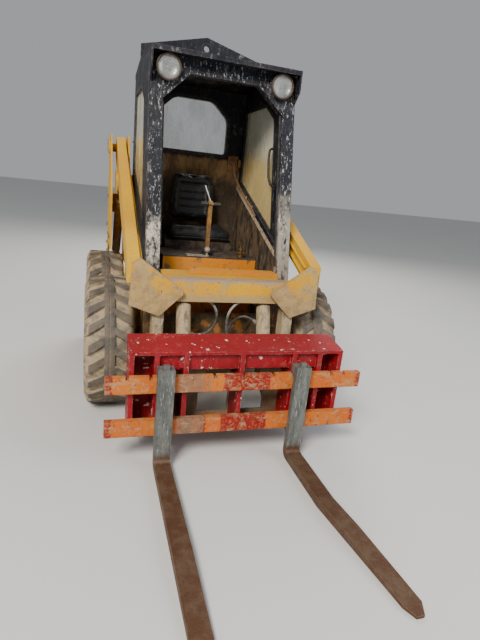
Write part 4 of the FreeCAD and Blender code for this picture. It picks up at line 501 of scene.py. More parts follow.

# %% [markdown]
# The cab is navy-black outside with white scuffs. Its front posts wear differently: the
# left one is cream at its foot, the right one grey-beige over its whole lower half.
# Inside, the rear wall is tan under the window, with painted shade near black low down, and the side
# panels' diagonal braces are black above and rubbed tan below.

# %% Cab coats
def post_wear(f, colour):
    rise = f.ragged(2, 0.5, 0.12)
    left = f.math("LESS_THAN", f.axis(0), 0.0)
    foot = f.math("MULTIPLY", left, f.between(rise, 0.90, 1.14, 0.05))
    specks = f.window(f.noise(0.025, 6, 0.75, (1, 1, 0.5), 61), 0.40, 0.58)
    colour = f.mix(f.math("MULTIPLY", foot, f.math("MULTIPLY", specks, 0.85)), colour, rgb(0.56, 0.52, 0.42))
    right = f.math("SUBTRACT", 1.0, left)
    low = f.math("SUBTRACT", 1.0, f.window(rise, 1.16, 1.42))
    flat = f.window(f.noise(0.03, 6, 0.75, (1, 1, 0.4), 63), 0.34, 0.52)
    colour = f.mix(f.math("MULTIPLY", f.math("MULTIPLY", right, low), f.math("MULTIPLY", flat, 0.9)),
                   colour, rgb(0.30, 0.27, 0.22))
    scuffs = f.window(f.noise(0.018, 6, 0.8, (1.5, 1.5, 0.30), 65), 0.575, 0.62)
    return f.mix(f.math("MULTIPLY", scuffs, 0.9), colour, rgb(0.55, 0.55, 0.56))


def inside_tan(f, colour):
    """Tan over the inner face of the rear wall, under the window, with painted shade near black low down."""
    inner = f.math("LESS_THAN", f.axis(1, f.facing), -0.5)
    rise = f.ragged(2, 0.06, 0.05)
    under = f.math("SUBTRACT", 1.0, f.window(rise, 1.53, 1.56))
    tan = f.mix(f.window(f.noise(0.09, 6, 0.7, (1, 1, 0.4), 71), 0.38, 0.62),
                rgb(0.38, 0.24, 0.10), rgb(0.15, 0.09, 0.04))
    # painted shade: the wall is mixed to near black below about 1.34 to 1.46 m, standing for the seat's shadow
    painted_seat_shadow = f.math("SUBTRACT", 1.0, f.window(f.ragged(2, 0.16, 0.09, 74), 1.34, 1.46))
    tan = f.mix(f.math("MULTIPLY", painted_seat_shadow, 0.85), tan, rgb(0.030, 0.022, 0.015))
    return f.mix(f.math("MULTIPLY", inner, under), colour, tan)


def brace_wear(f, colour):
    """Brown under the brace's line on the inner face, and a tan strip along it."""
    inner = f.math("GREATER_THAN", f.math("MULTIPLY", f.math("MULTIPLY", f.axis(0), -1.0, False),
                                          f.axis(0, f.facing), False), 0.2)
    slope = f.math("MULTIPLY", f.axis(1), 0.3795, False)
    height = f.math("SUBTRACT", f.ragged(2, 0.012, 0.02), slope, False)
    line = 1.080 - (-0.3569 + wheel_middle) * 0.3795
    strip = f.between(height, line - 0.078, line - 0.036, 0.002)
    worn = f.window(f.noise(0.04, 5, 0.7, shift=73), 0.30, 0.48)
    under = f.math("SUBTRACT", 1.0, f.window(height, line - 0.079, line - 0.075))
    stains = f.window(f.noise(0.06, 6, 0.7, (1, 1, 0.5), 75), 0.44, 0.60)
    brown = f.mix(stains, rgb(0.16, 0.105, 0.055), rgb(0.035, 0.026, 0.019))
    colour = f.mix(f.math("MULTIPLY", f.math("MULTIPLY", inner, under), 0.85), colour, brown)
    strip = f.math("MULTIPLY", f.math("MULTIPLY", inner, strip), worn)
    return f.mix(strip, colour, rgb(0.50, 0.39, 0.26))


navy, navy_faded = rgb(0.003, 0.004, 0.009), rgb(0.007, 0.009, 0.016)
grey_scuff, dark_metal = rgb(0.34, 0.33, 0.32), rgb(0.20, 0.18, 0.16)


def cab_black(name, shift, layout=None, scuffed=0.4):
    return worn_paint(name, navy, navy_faded, grey_scuff, dark_metal, dusty=0.05, scuffed=scuffed,
                      chipped=0.45, streaked=0.08, roughness=0.52, shift=shift, layout=layout)


black_paint = cab_black("black_paint", 6.0)
post_black = cab_black("front_post_black", 6.7, post_wear, 0.25)
rear_wall_paint = cab_black("rear_wall_paint", 7.3, inside_tan, 0.3)
side_panel_paint = cab_black("side_panel_paint", 7.9, brace_wear, 0.3)
print("cab coats ready")

# %% [markdown]
# The attachment is crimson with white scuffs and pale chips, the legs and cylinder barrels
# are a dusty beige, the coupler is painted dark brown as shade with beige patches, and the rims are the machine's
# yellow under mud.

# %% Red, beige and rim coats
def pale_chips(f, colour):
    spots = f.window(f.noise(0.035, 3, 0.5, shift=81), 0.655, 0.68)
    return f.mix(spots, colour, rgb(0.62, 0.55, 0.47))


red_paint = worn_paint("red_paint", rgb(0.21, 0.0003, 0.005), rgb(0.26, 0.001, 0.008),
                       rgb(0.42, 0.20, 0.18), rgb(0.40, 0.34, 0.30), dusty=0.05, scuffed=0.18,
                       chipped=0.4, streaked=0.08, roughness=0.36, shift=8.0, layout=pale_chips)
# painted shade: the coupler's coat is dark brown for the shade behind the fork frame, with beige patches, under real
# dust and scuffs
coupler_shade_and_dirt = worn_paint("coupler_shade_and_dirt", rgb(0.12, 0.080, 0.048), rgb(0.30, 0.22, 0.12),
                          rgb(0.26, 0.19, 0.12), dusty=0.35, scuffed=0.4, chipped=0.4, shift=9.0)
def dark_runs(f, colour):
    """Dark brown oil that has run down and dried in streaks."""
    runs = f.window(f.noise(0.028, 6, 0.7, (1.4, 1.4, 0.12), 84), 0.50, 0.62)
    stains = f.window(f.noise(0.05, 6, 0.75, shift=86), 0.52, 0.64)
    colour = f.mix(f.math("MULTIPLY", stains, 0.55), colour, rgb(0.15, 0.095, 0.05))
    return f.mix(f.math("MULTIPLY", runs, 0.7), colour, rgb(0.10, 0.065, 0.038))


beige_paint = worn_paint("beige_paint", rgb(0.36, 0.275, 0.155), rgb(0.42, 0.34, 0.215),
                         rgb(0.36, 0.28, 0.18), dusty=0.3, scuffed=0.3, chipped=0.45, streaked=0.15,
                         shift=10.0, layout=dark_runs)
rim_paint = worn_paint("rim_paint", rgb(0.60, 0.36, 0.08), rgb(0.56, 0.42, 0.20),
                       rgb(0.36, 0.28, 0.19), dusty=0.7, scuffed=0.6, chipped=0.5, shift=12.0)
print("materials:", len(bpy.data.materials))

# %% [markdown]
# Steel without paint: the fork blades are brown with rust and rubbed bright where they
# slide under loads, the shanks are grey-green with scratches, the rods are polished
# chrome, and the castings under the floor are dark and oily.

# %% Bare metals
def rusty_steel(name, steel, rust, rubbed, shift=0.0, layout=None):
    f = Finish(name, metallic=0.35)
    base = f.mix(f.window(f.noise(0.08, 6, 0.7, shift=shift), 0.38, 0.62), steel, rust)
    if layout:
        base = layout(f, base)
    grain = f.noise(0.006, 4, 0.7, (1, 1, 0.3), shift + 2)
    base = f.mix(f.math("MULTIPLY", f.window(grain, 0.5, 0.7), 0.6), base, darker(rust, 0.4))
    scratches = f.window(f.noise(0.004, 3, 0.5, (6, 0.12, 6), shift + 4), 0.62, 0.7)
    base = f.mix(f.math("MULTIPLY", scratches, 0.5), base, rubbed)
    base = f.mix(f.math("MULTIPLY", f.edges(0.004), 0.7), base, rubbed)
    return f.finish(base, f.math("ADD", f.math("MULTIPLY", grain, 0.4), 0.42), grain, 0.002, 0.6, 0.002)


def grey_shank(f, base):
    """The upright shank is grey-green over primer, with pale scratches up and down."""
    upright = f.window(f.ragged(2, 0.05, 0.03), 0.05, 0.10)
    green = f.mix(f.window(f.noise(0.05, 6, 0.75, (1, 1, 0.3), 91), 0.35, 0.65),
                  rgb(0.075, 0.085, 0.082), rgb(0.17, 0.18, 0.165))
    scratch = f.window(f.noise(0.010, 4, 0.7, (1, 1, 0.12), 93), 0.58, 0.66)
    green = f.mix(f.math("MULTIPLY", scratch, 0.6), green, rgb(0.40, 0.40, 0.36))
    return f.mix(upright, base, green)


fork_steel = rusty_steel("fork_steel", rgb(0.115, 0.070, 0.040), rgb(0.085, 0.036, 0.016),
                         rgb(0.24, 0.16, 0.10), layout=grey_shank)
bare_steel = rusty_steel("bare_steel", rgb(0.34, 0.32, 0.29), rgb(0.20, 0.12, 0.07), rgb(0.5, 0.48, 0.45), 3.0)
cast_metal = rusty_steel("cast_metal", rgb(0.06, 0.055, 0.05), rgb(0.10, 0.06, 0.04), rgb(0.2, 0.19, 0.18), 5.0)
lever_paint = rusty_steel("lever_paint", rgb(0.33, 0.175, 0.030), rgb(0.17, 0.085, 0.030), rgb(0.26, 0.20, 0.12), 7.0)


def chrome():
    f = Finish("chrome_rod", metallic=1.0)
    film = f.window(f.noise(0.02, 5, 0.7), 0.5, 0.75)
    return f.finish(f.mix(film, rgb(0.72, 0.72, 0.74), rgb(0.42, 0.38, 0.33)),
                    f.math("ADD", f.math("MULTIPLY", film, 0.3), 0.14))


chrome_rod = chrome()
print("metals ready")

# %% [markdown]
# Rubber, vinyl, plastic and glass. Dried mud fills the hollows of the tread and the worn
# tops are darker: each tyre's mesh carries the distance from its axle as an attribute,
# which the rubber reads. The side windows are milky old plastic, yellower low down.

# %% Rubber, vinyl and panes
def dusty_rubber():
    f = Finish("tyre_rubber")
    from_axle = f.tree.nodes.new("ShaderNodeAttribute")
    from_axle.attribute_name = "from_axle"
    depth = f.math("ADD", from_axle.outputs["Fac"], f.math("MULTIPLY", f.noise(0.03, 5, 0.7), 0.014, False), False)
    worn_top = f.window(depth, 0.386, 0.394)
    mud = f.window(f.noise(0.07, 6, 0.7), 0.36, 0.60)
    fine = f.noise(0.006, 4, 0.7)
    colour = f.mix(mud, rgb(0.13, 0.105, 0.075), rgb(0.35, 0.275, 0.17))
    dark = f.mix(mud, rgb(0.055, 0.049, 0.042), rgb(0.125, 0.10, 0.075))
    colour = f.mix(worn_top, colour, dark)
    colour = f.mix(f.math("MULTIPLY", f.window(fine, 0.45, 0.75), 0.5), colour, rgb(0.13, 0.105, 0.08))
    return f.finish(colour, f.math("ADD", f.math("MULTIPLY", mud, 0.2), 0.7), fine, 0.002, 0.6)


def black_rubber():
    f = Finish("seal_rubber", roughness=0.6)
    dust = f.window(f.noise(0.03, 6, 0.75), 0.45, 0.7)
    return f.finish(f.mix(f.math("MULTIPLY", dust, 0.5), rgb(0.012, 0.012, 0.012), rgb(0.12, 0.11, 0.10)),
                    None, f.noise(0.004, 3), 0.0008, 0.4)


def vinyl():
    f = Finish("black_vinyl", roughness=0.38)
    grain = f.cells(0.0035)
    dust = f.window(f.noise(0.09, 5, 0.65), 0.48, 0.72)
    colour = f.mix(f.math("MULTIPLY", dust, 0.35), rgb(0.014, 0.014, 0.017), rgb(0.13, 0.12, 0.11))
    return f.finish(colour, f.math("ADD", f.math("MULTIPLY", dust, 0.25), 0.36), grain, 0.0006, 0.4)


def pane(name, tint, opacity, haze, lower=None):
    f = Finish(name)
    smear = f.window(f.noise(0.12, 5, 0.6, (1, 1, 0.5)), 0.35, 0.7)
    streak = f.window(f.noise(0.03, 4, 0.6, (2, 2, 0.3), 3.0), 0.5, 0.75)
    colour = f.mix(f.math("MULTIPLY", smear, 0.5), tint, darker(tint, 1.25))
    if lower:
        colour = f.mix(f.window(f.ragged(2, 0.2, 0.15), 1.66, 1.50), colour, lower)
    f.feed(f.surface.inputs["Alpha"],
           f.math("ADD", f.math("MULTIPLY", f.math("MAXIMUM", smear, streak), haze), opacity))
    return f.finish(colour, f.math("ADD", f.math("MULTIPLY", smear, 0.25), 0.12))


def floor_finish():
    f = Finish("studio_floor", roughness=0.85)
    return f.finish(f.mix(f.noise(2.5, 3), rgb(0.55, 0.55, 0.54), rgb(0.60, 0.60, 0.59)))


tyre_rubber = dusty_rubber()
seal_rubber = black_rubber()
black_vinyl = vinyl()
side_plastic = pane("window_plastic", rgb(0.56, 0.55, 0.42), 0.72, 0.22, rgb(0.66, 0.52, 0.24))
clear_pane = pane("window_glass", rgb(0.55, 0.60, 0.58), 0.10, 0.18)
lamp_lens = pane("lamp_glass", rgb(0.26, 0.28, 0.28), 0.22, 0.30)
floor_mesh.materials.append(floor_finish())
print("materials:", len(bpy.data.materials))

# %% [markdown]
# The frame's own nodes keep their shapes and take these finishes, by name.

# %% Finish of each node
finishes = {
    yellow_paint: ["lift_arms", "rear_towers", "engine_hood", "rear_corner_posts", "rear_bumper",
                   "hydraulic_pipes"],
    frame_yellow: ["main_frame"],
    dusty_yellow: ["arm_front_plates"],
    cross_yellow: ["arm_cross_member"],
    bar_orange: ["carriage_bars"],
    orange_paint: ["door_step"],
    box_paint: ["seat_base"],
    lever_paint: ["control_lever"],
    post_black: ["cab_front_frame"],
    side_panel_paint: ["cab_side_left", "cab_side_right"],
    rear_wall_paint: ["cab_rear_wall"],
    black_paint: ["cab_roof", "roof_lifting_plate", "work_lamp_housings", "rear_door"],
    red_paint: ["fork_frame"],
    beige_paint: ["arm_legs", "tilt_barrels", "lift_barrels"],
    coupler_shade_and_dirt: ["coupler_frame"],
    rim_paint: ["rim_front_left", "rim_front_right", "rim_rear_left", "rim_rear_right"],
    fork_steel: ["fork_left", "fork_right"],
    cast_metal: ["axle_housings", "engine_block"],
    chrome_rod: ["tilt_rods", "lift_rods"],
    tyre_rubber: ["tyre_front_left", "tyre_front_right", "tyre_rear_left", "tyre_rear_right"],
    black_vinyl: ["seat_cushion", "seat_backrest"],
    side_plastic: ["side_windows"],
    clear_pane: ["rear_window"],
    lamp_lens: ["work_lamp_lenses"],
}
for finish, names in finishes.items():
    for name in names:
        mesh = nodes[name].data
        mesh.materials.clear()
        mesh.materials.append(finish)
finished = {name for names in finishes.values() for name in names}
print("without a finish:", sorted(set(nodes) - finished))

# %% [markdown]
# Many things on a loader repeat: tread lugs, wheel nuts and bolts.
# Geometry Nodes place them. This helper builds a tree with named inputs, runs it once on
# a mesh, and gives back the result as a plain mesh.

# %% Geometry Nodes helper
class Repeat:
    """A Geometry Nodes tree with named inputs, run once on a mesh."""

    def __init__(self, name):
        self.tree = bpy.data.node_groups.new(name, "GeometryNodeTree")
        for way in ("INPUT", "OUTPUT"):
            self.tree.interface.new_socket("Geometry", in_out=way, socket_type="NodeSocketGeometry")
        self.start = self.tree.nodes.new("NodeGroupInput")
        self.values = {}

    def input(self, name, kind, value):
        socket = self.tree.interface.new_socket(name, in_out="INPUT", socket_type=f"NodeSocket{kind}")
        self.values[socket.identifier] = value
        return self.start.outputs[name]

    def node(self, kind, output=0, settings=(), **inputs):
        made = self.tree.nodes.new(kind)
        for key, value in settings:
            setattr(made, key, value)
        for key, value in inputs.items():
            socket = made.inputs[key.replace("_", " ")]
            if isinstance(value, bpy.types.NodeSocket):
                self.tree.links.new(value, socket)
            else:
                socket.default_value = value
        return made.outputs[output]

    def run(self, mesh, geometry, finish):
        real = self.node("GeometryNodeRealizeInstances", Geometry=geometry)
        last = self.node("GeometryNodeSetMaterial", Geometry=real, Material=finish)
        end = self.tree.nodes.new("NodeGroupOutput")
        self.tree.links.new(last, end.inputs[0])
        carrier = bpy.data.objects.new(self.tree.name, mesh)
        bpy.context.scene.collection.objects.link(carrier)
        modifier = carrier.modifiers.new(self.tree.name, "NODES")
        modifier.node_group = self.tree
        for identifier, value in self.values.items():
            modifier[identifier] = value
        graph = bpy.context.evaluated_depsgraph_get()
        made = bpy.data.meshes.new_from_object(carrier.evaluated_get(graph))
        carrier.modifiers.clear()
        bpy.data.objects.remove(carrier)
        return made


def ring_of(name, mesh, count, finish):
    """A mesh modelled beside the X axis, repeated evenly round that axis."""
    recipe = Repeat(name)
    number = recipe.input("Count", "Int", count)
    spots = recipe.node("GeometryNodePoints", Count=number)
    whole_turn = recipe.node("ShaderNodeMath", settings=[("operation", "DIVIDE")])
    recipe.tree.nodes[-1].inputs[0].default_value = 2 * math.pi
    recipe.tree.links.new(number, recipe.tree.nodes[-1].inputs[1])
    place = recipe.node("GeometryNodeInputIndex")
    angle = recipe.node("ShaderNodeMath", settings=[("operation", "MULTIPLY")])
    recipe.tree.links.new(place, recipe.tree.nodes[-1].inputs[0])
    recipe.tree.links.new(whole_turn, recipe.tree.nodes[-1].inputs[1])
    turn = recipe.node("ShaderNodeCombineXYZ", X=angle)
    copies = recipe.node("GeometryNodeInstanceOnPoints", Points=spots,
                         Instance=recipe.start.outputs[0], Rotation=turn)
    return recipe.run(mesh, copies, finish)


print("repeat helper ready")

# %% [markdown]
# A loader tyre is a plain carcass with bars of rubber across its shoulders. The carcass
# is turned like a pot, from half a section of width and radius that is mirrored. One
# lug is made as a row of sections, leaning back towards its outer end, and the tree
# repeats it 22 times on each side, half a step apart. The wheels are worn, so a smooth
# band runs round between the lugs. One tyre is made and copied to the four axles.

# %% Tyres
lug_count = 22
lug_lag, lug_floor = 0.052, 0.352
tread_radius = 0.387
half_section = [
    (0.0, 0.3845), (0.003, 0.3845), (0.0045, 0.3868), (0.024, 0.3868), (0.0275, 0.3845),
    (0.031, 0.3700), (0.095, 0.3670), (0.110, 0.3610), (0.122, 0.3480), (0.130, 0.3320),
    (0.1338, 0.3180), (0.1349, 0.3060), (0.1362, 0.3045), (0.1362, 0.3000), (0.1352, 0.2985),
    (0.1355, 0.2850), (0.1350, 0.2680), (0.1362, 0.2665), (0.1362, 0.2635), (0.1345, 0.2620),
    (0.1310, 0.2480), (0.1240, 0.2340), (0.1165, 0.2250), (0.1042, 0.2238), (0.1042, 0.2095),
]


def tyre_section():
    other = [(-along, radius) for along, radius in reversed(half_section[1:])]
    return other + half_section


def lug_mesh(side):
    """One tread lug on the side that faces away from or towards the machine."""
    shape = Shape()
    # across the tread, top radius, half width, share of the lag
    stations = [(0.022, 0.3866, 0.0200, -0.15), (0.027, 0.3869, 0.0225, -0.10), (0.070, 0.3870, 0.0245, 0.40),
                (0.1060, 0.3868, 0.0260, 0.80), (0.1130, 0.3820, 0.0265, 0.88), (0.1250, 0.3580, 0.0275, 0.98),
                (0.1325, 0.3390, 0.0275, 1.02), (0.1360, 0.3250, 0.0250, 1.02), (0.1362, 0.3120, 0.0215, 1.02)]
    rings = []
    for across, top, half, share in stations:
        low = min(lug_floor, top - 0.018)
        crest = max(half - 0.0035, 0.01)
        outline = [(-half - 0.002, low), (half + 0.002, low), (half, top - 0.005), (crest, top),
                   (-crest, top), (-half, top - 0.005)]
        ring = []
        for around, radius in outline:
            angle = (around + lug_lag * share) / tread_radius
            ring.append(Vector((side * across, radius * math.cos(angle), radius * math.sin(angle))))
        rings.append(ring)
    shape.skin(rings)
    bmesh.ops.recalc_face_normals(shape.mesh, faces=shape.mesh.faces)
    mesh = bpy.data.meshes.new("tread_lug")
    shape.mesh.to_mesh(mesh)
    shape.mesh.free()
    return mesh


carcass = Shape()
carcass.lathe((0, 0, 0), (1, 0, 0), tyre_section(), 96, closed=True)
bmesh.ops.recalc_face_normals(carcass.mesh, faces=carcass.mesh.faces)
half_step = Matrix.Rotation(math.pi / lug_count, 4, "X")
for side in SIDES:
    lugs = ring_of("tread_lugs", lug_mesh(side), lug_count, tyre_rubber)
    if side > 0:
        lugs.transform(half_step)
    carcass.mesh.from_mesh(lugs)
distance = carcass.mesh.verts.layers.float.new("from_axle")
for vertex in carcass.mesh.verts:
    vertex[distance] = math.hypot(vertex.co.y, vertex.co.z)
tyre_mesh = bpy.data.meshes.new("tyre")
carcass.mesh.to_mesh(tyre_mesh)
carcass.mesh.free()


def wheel_part(source, name, end, side, finish, mirror=False, bevel=0.0):
    """A copy of a part modelled round the X axis, moved to one wheel."""
    low, high = tyre_boxes[(end, side)]
    middle = Vector([(a + b) / 2 for a, b in zip(low, high)])
    mesh = source.copy()
    if mirror:
        mesh.transform(Matrix.Rotation(math.pi, 4, "Z"))
    mesh.transform(Matrix.Translation(middle))
    return piece_of(mesh, f"{name}_{end}_{side}", finish, f"wheel_{end}_{side}", bevel)


for end, side in ends_and_sides:
    tyre = wheel_part(tyre_mesh, "treaded_tyre", end, side, tyre_rubber)
    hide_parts(f"tyre_{end}_{side}")
print("tyre faces:", len(tyre_mesh.polygons))

# %% [markdown]
# The rim is a steel barrel with rolled flanges and a dished disc. It is turned from one
# closed section; hub, cap and axle are a second turned part. Eight nuts hold it, each a
# hexagon with a washer, and a valve stands in the disc.

# %% Rims
def hexagon(centre, axis, radius, height, shape):
    shape.lathe(centre, axis, [(0, radius), (height * 0.82, radius), (height, radius * 0.86)], 6)


rim_section = [
    (-0.1140, 0.2230), (-0.1045, 0.2230), (-0.1035, 0.2085), (0.1035, 0.2085), (0.1045, 0.2230),
    (0.1140, 0.2230), (0.1150, 0.2170), (0.1105, 0.2070), (0.1000, 0.1990), (0.0620, 0.1975),
    (0.0540, 0.1900), (0.0480, 0.1790), (0.0520, 0.1660), (0.0530, 0.1500), (0.0430, 0.1350),
    (0.0400, 0.1250), (0.0400, 0.0700), (0.0300, 0.0700), (0.0300, 0.1330), (0.0400, 0.1480),
    (0.0390, 0.1700), (0.0360, 0.1800), (0.0400, 0.1960), (-0.1000, 0.1990), (-0.1105, 0.2070),
    (-0.1150, 0.2170),
]
rim = Shape()
rim.lathe((0, 0, 0), (1, 0, 0), rim_section, 72, closed=True)
rim.lathe((0, 0, 0), (1, 0, 0), [(-0.1845, 0.0310), (-0.1060, 0.0310), (-0.1050, 0.0720), (0.0450, 0.0740),
                                 (0.0480, 0.0700), (0.0480, 0.0430), (0.0500, 0.0340), (0.0620, 0.0340),
                                 (0.0650, 0.0300), (0.0650, 0.0060)], 40)
rim.rod((0.040, 0.150, 0.030), (0.072, 0.163, 0.033), 0.004, 10)
rim.rod((0.068, 0.1615, 0.0325), (0.080, 0.1665, 0.0338), 0.0055, 10)
nut = Shape()
nut.lathe((0.0385, 0.100, 0), (1, 0, 0), [(0, 0.0165), (0.004, 0.0165), (0.005, 0.015)], 16)
hexagon((0.0420, 0.100, 0), (1, 0, 0), 0.0135, 0.016, nut)
nut.lathe((0.0570, 0.100, 0), (1, 0, 0), [(0, 0.007), (0.007, 0.007), (0.009, 0.005)], 12)
nut_mesh = bpy.data.meshes.new("wheel_nut")
bmesh.ops.recalc_face_normals(nut.mesh, faces=nut.mesh.faces)
nut.mesh.to_mesh(nut_mesh)
nut.mesh.free()
rim.mesh.from_mesh(ring_of("wheel_nuts", nut_mesh, 8, rim_paint))
bmesh.ops.recalc_face_normals(rim.mesh, faces=rim.mesh.faces)
rim_mesh = bpy.data.meshes.new("rim")
rim.mesh.to_mesh(rim_mesh)
rim.mesh.free()
for end, side in ends_and_sides:
    made = wheel_part(rim_mesh, "dished_rim", end, side, rim_paint, side == "left")
    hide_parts(f"rim_{end}_{side}")
print("rim faces:", len(rim_mesh.polygons))

# %% [markdown]
# Each work lamp is a rusty steel bowl with a rolled rim, a bright reflector inside and a
# domed lens whose ribs were pressed into the glass. The lens carries eight upright ribs.

# %% Work lamps
lamp_rust = rusty_steel("lamp_rust", rgb(0.050, 0.036, 0.028), rgb(0.060, 0.030, 0.018), rgb(0.13, 0.085, 0.055), 11.0)


def bright_bowl():
    f = Finish("lamp_reflector", metallic=1.0)
    film = f.window(f.noise(0.03, 5, 0.7, shift=5.0), 0.4, 0.7)
    return f.finish(f.mix(film, rgb(0.62, 0.62, 0.60), rgb(0.34, 0.31, 0.27)),
                    f.math("ADD", f.math("MULTIPLY", film, 0.25), 0.25))


lamp_bowl_finish = bright_bowl()
housing_low, housing_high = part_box("work_lamp_housings")
lamp_height = (housing_low[2] + housing_high[2]) / 2
lamp_radius = (housing_high[2] - housing_low[2]) / 2
lamp_front = housing_low[1]
lamp_across = housing_high[0] - lamp_radius
bowls, reflectors, lenses = Shape(), Shape(), Shape()
for side in SIDES:
    centre = (lamp_across * side, lamp_front, lamp_height)
    # distance behind the front face, radius
    bowls.lathe(centre, (0, 1, 0), [(0.004, 0.0600), (0.0015, 0.0620), (0.0, 0.0650), (0.001, 0.0685),
                                    (0.005, 0.0712), (0.010, 0.0716), (0.013, 0.0700), (0.015, 0.0670),
                                    (0.030, 0.0600), (0.0318, 0.0300), (0.0318, 0.0040), (0.0290, 0.0040),
                                    (0.0280, 0.0560), (0.0140, 0.0640), (0.008, 0.0605)], 40, closed=True)
    for angle in (0.6, 2.5, 4.7):
        spot = Vector(centre) + Vector((math.cos(angle), 0, math.sin(angle))) * 0.0665
        bowls.lathe(spot + Vector((0, 0.001, 0)), (0, -1, 0), [(0, 0.0042), (0.0012, 0.0040), (0.002, 0.002)], 10)
    reflectors.lathe(centre, (0, 1, 0), [(0.0085, 0.0600), (0.0150, 0.0560), (0.0220, 0.0430), (0.0265, 0.0240),
                                         (0.0275, 0.0060), (0.0285, 0.0060), (0.0275, 0.0260), (0.0230, 0.0450),
                                         (0.0160, 0.0580), (0.0095, 0.0615)], 36, closed=True)
    reflectors.lathe(centre, (0, 1, 0), [(0.0120, 0.0050), (0.0130, 0.0085), (0.0275, 0.0085)], 16)
lamp_bowls = bowls.done("lamp_bowls", lamp_rust, "chassis", "lamp_shell")
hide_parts("work_lamp_housings")
lamp_reflectors = reflectors.done("lamp_reflectors", lamp_bowl_finish, "chassis", "lamp_shell")
for side in SIDES:
    # the dome is a fan of rings whose height follows upright ribs
    rings = []
    for radius in (0.0605, 0.0560, 0.0500, 0.0420, 0.0330, 0.0230, 0.0120, 0.0030):
        ring = []
        for k in range(56):
            angle = 2 * math.pi * k / 56
            across, rise = radius * math.cos(angle), radius * math.sin(angle)
            rib = 0.0007 * math.cos(across * 2 * math.pi / 0.013)
            dome = 0.0065 * (1 - (radius / 0.0605) ** 2)
            ring.append(Vector((lamp_across * side + across, lamp_front + 0.0078 - dome - rib, lamp_height + rise)))
        rings.append(ring)
    lenses.skin(rings)
lens_piece = lenses.done("ribbed_lamp_lenses", lamp_lens, "chassis", "lamp_glass")
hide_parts("work_lamp_lenses")
print("lamps at", [round(v, 3) for v in (lamp_across, lamp_front, lamp_height)])
# %% [markdown]
# Hydraulic cylinders are turned parts, so they are drawn with lathe(): a barrel with a
# gland band at its mouth and a blind bore, a tongue and an eye on its base pin, and a
# polished rod with an eye of its own. Each part rides on its own body, so the rods slide
# when the frame moves.

# %% Cylinders
def eye_ring(shape, centre, half=0.0175):
    section = [(-half, 0.0153), (-half, 0.0275), (0.002 - half, 0.0298), (half - 0.002, 0.0298),
               (half, 0.0275), (half, 0.0153)]
    shape.lathe(centre, (1, 0, 0), section, 40, closed=True)


def cylinder_pair(name, across, low_pin, high_pin, barrel, mouth):
    barrels, rods, eyes = Shape(), Shape(), Shape()
    base, far = Vector((0, *low_pin)), Vector((0, *high_pin))
    axis = (far - base).normalized()
    span = (far - base).length
    bore, rod = 0.0166, 0.0158
    for side in SIDES:
        shift = Vector((across * side, 0, 0))
        start = base + shift
        profile = [(0.063, barrel - 0.016), (0.063, barrel - 0.010), (0.073, barrel - 0.0006),
                   (mouth - 0.046, barrel - 0.0006), (mouth - 0.044, barrel), (mouth - 0.034, barrel),
                   (mouth - 0.032, barrel - 0.002), (mouth - 0.020, barrel - 0.002),
                   (mouth - 0.018, barrel), (mouth - 0.004, barrel), (mouth, barrel - 0.004),
                   (mouth, bore + 0.006), (mouth - 0.003, bore + 0.003), (mouth - 0.003, bore),
                   (0.0765, bore)]
        barrels.lathe(start, axis, profile, 48)
        # rounded weld where the barrel meets its closed end
        weld = [(0.064 + 0.003 * math.cos(a), barrel - 0.014 + 0.003 * math.sin(a))
                for a in (2 * math.pi * k / 8 for k in range(8))]
        barrels.lathe(start, axis, weld, 48, closed=True)
        eye_ring(barrels, start)
        depth = axis.cross(Vector((1, 0, 0)))
        for half, deep, low, high in ((0.0165, 0.019, 0.022, 0.063),):
            rings = [[start + axis * run + Vector((u * half, 0, 0)) + depth * (v * deep * share)
                      for u, v in ((-1, -1), (1, -1), (1, 1), (-1, 1))]
                     for run, share in ((low, 0.9), (high, 1.0))]
            barrels.skin(rings)
        # hose port on the barrel's side, a boss
        port = start + axis * (mouth - 0.075)
        toward = Vector((-side, 0, 0))
        barrels.lathe(port + toward * (barrel - 0.004), toward, [(0, 0.011), (0.008, 0.010)], 20)
        rods.lathe(start, axis, [(0.124, rod - 0.002), (0.126, rod), (span - 0.026, rod)], 40)
        eye_ring(eyes, start + axis * span)
        eyes.lathe(start, axis, [(span - 0.046, 0.0165), (span - 0.044, 0.0200), (span - 0.022, 0.0200)], 32)
    tag = f"{name}_cylinder"
    made = barrels.done(f"{tag}_barrels_turned", beige_paint, f"{tag}_barrels", "beige_paint")
    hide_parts(f"{name}_barrels")
    made = rods.done(f"{tag}_rods_turned", chrome_rod, f"{tag}_rods", "chrome_rod")
    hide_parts(f"{name}_rods")
    eyes.done(f"{tag}_rod_eyes", beige_paint, f"{tag}_rods", "beige_paint")
    return span


def on_side(along, up):
    """A place on the middle plane, as the pair (along, up) of the frame."""
    return along + wheel_middle, up


tilt_span = cylinder_pair("tilt", 0.2365, on_side(-0.795, 0.775), on_side(-0.917, 0.360), 0.0415, 0.3240)
lift_span = cylinder_pair("lift", 0.530, on_side(0.870, 0.680), on_side(0.378, 1.260), 0.0345, 0.6530)
print("pin distances:", round(tilt_span, 3), round(lift_span, 3))

# %% [markdown]
# Two hoses hang in loops under the cross member and feed the tilt cylinders. A hose is a
# free cord: its line is one smooth NURBS spline through a few control points, read from
# the photograph, and its sag is part of that line. The right one is longer and hangs in a
# loop. Their outer rubber is grey with dust, pale along the top of the right one.

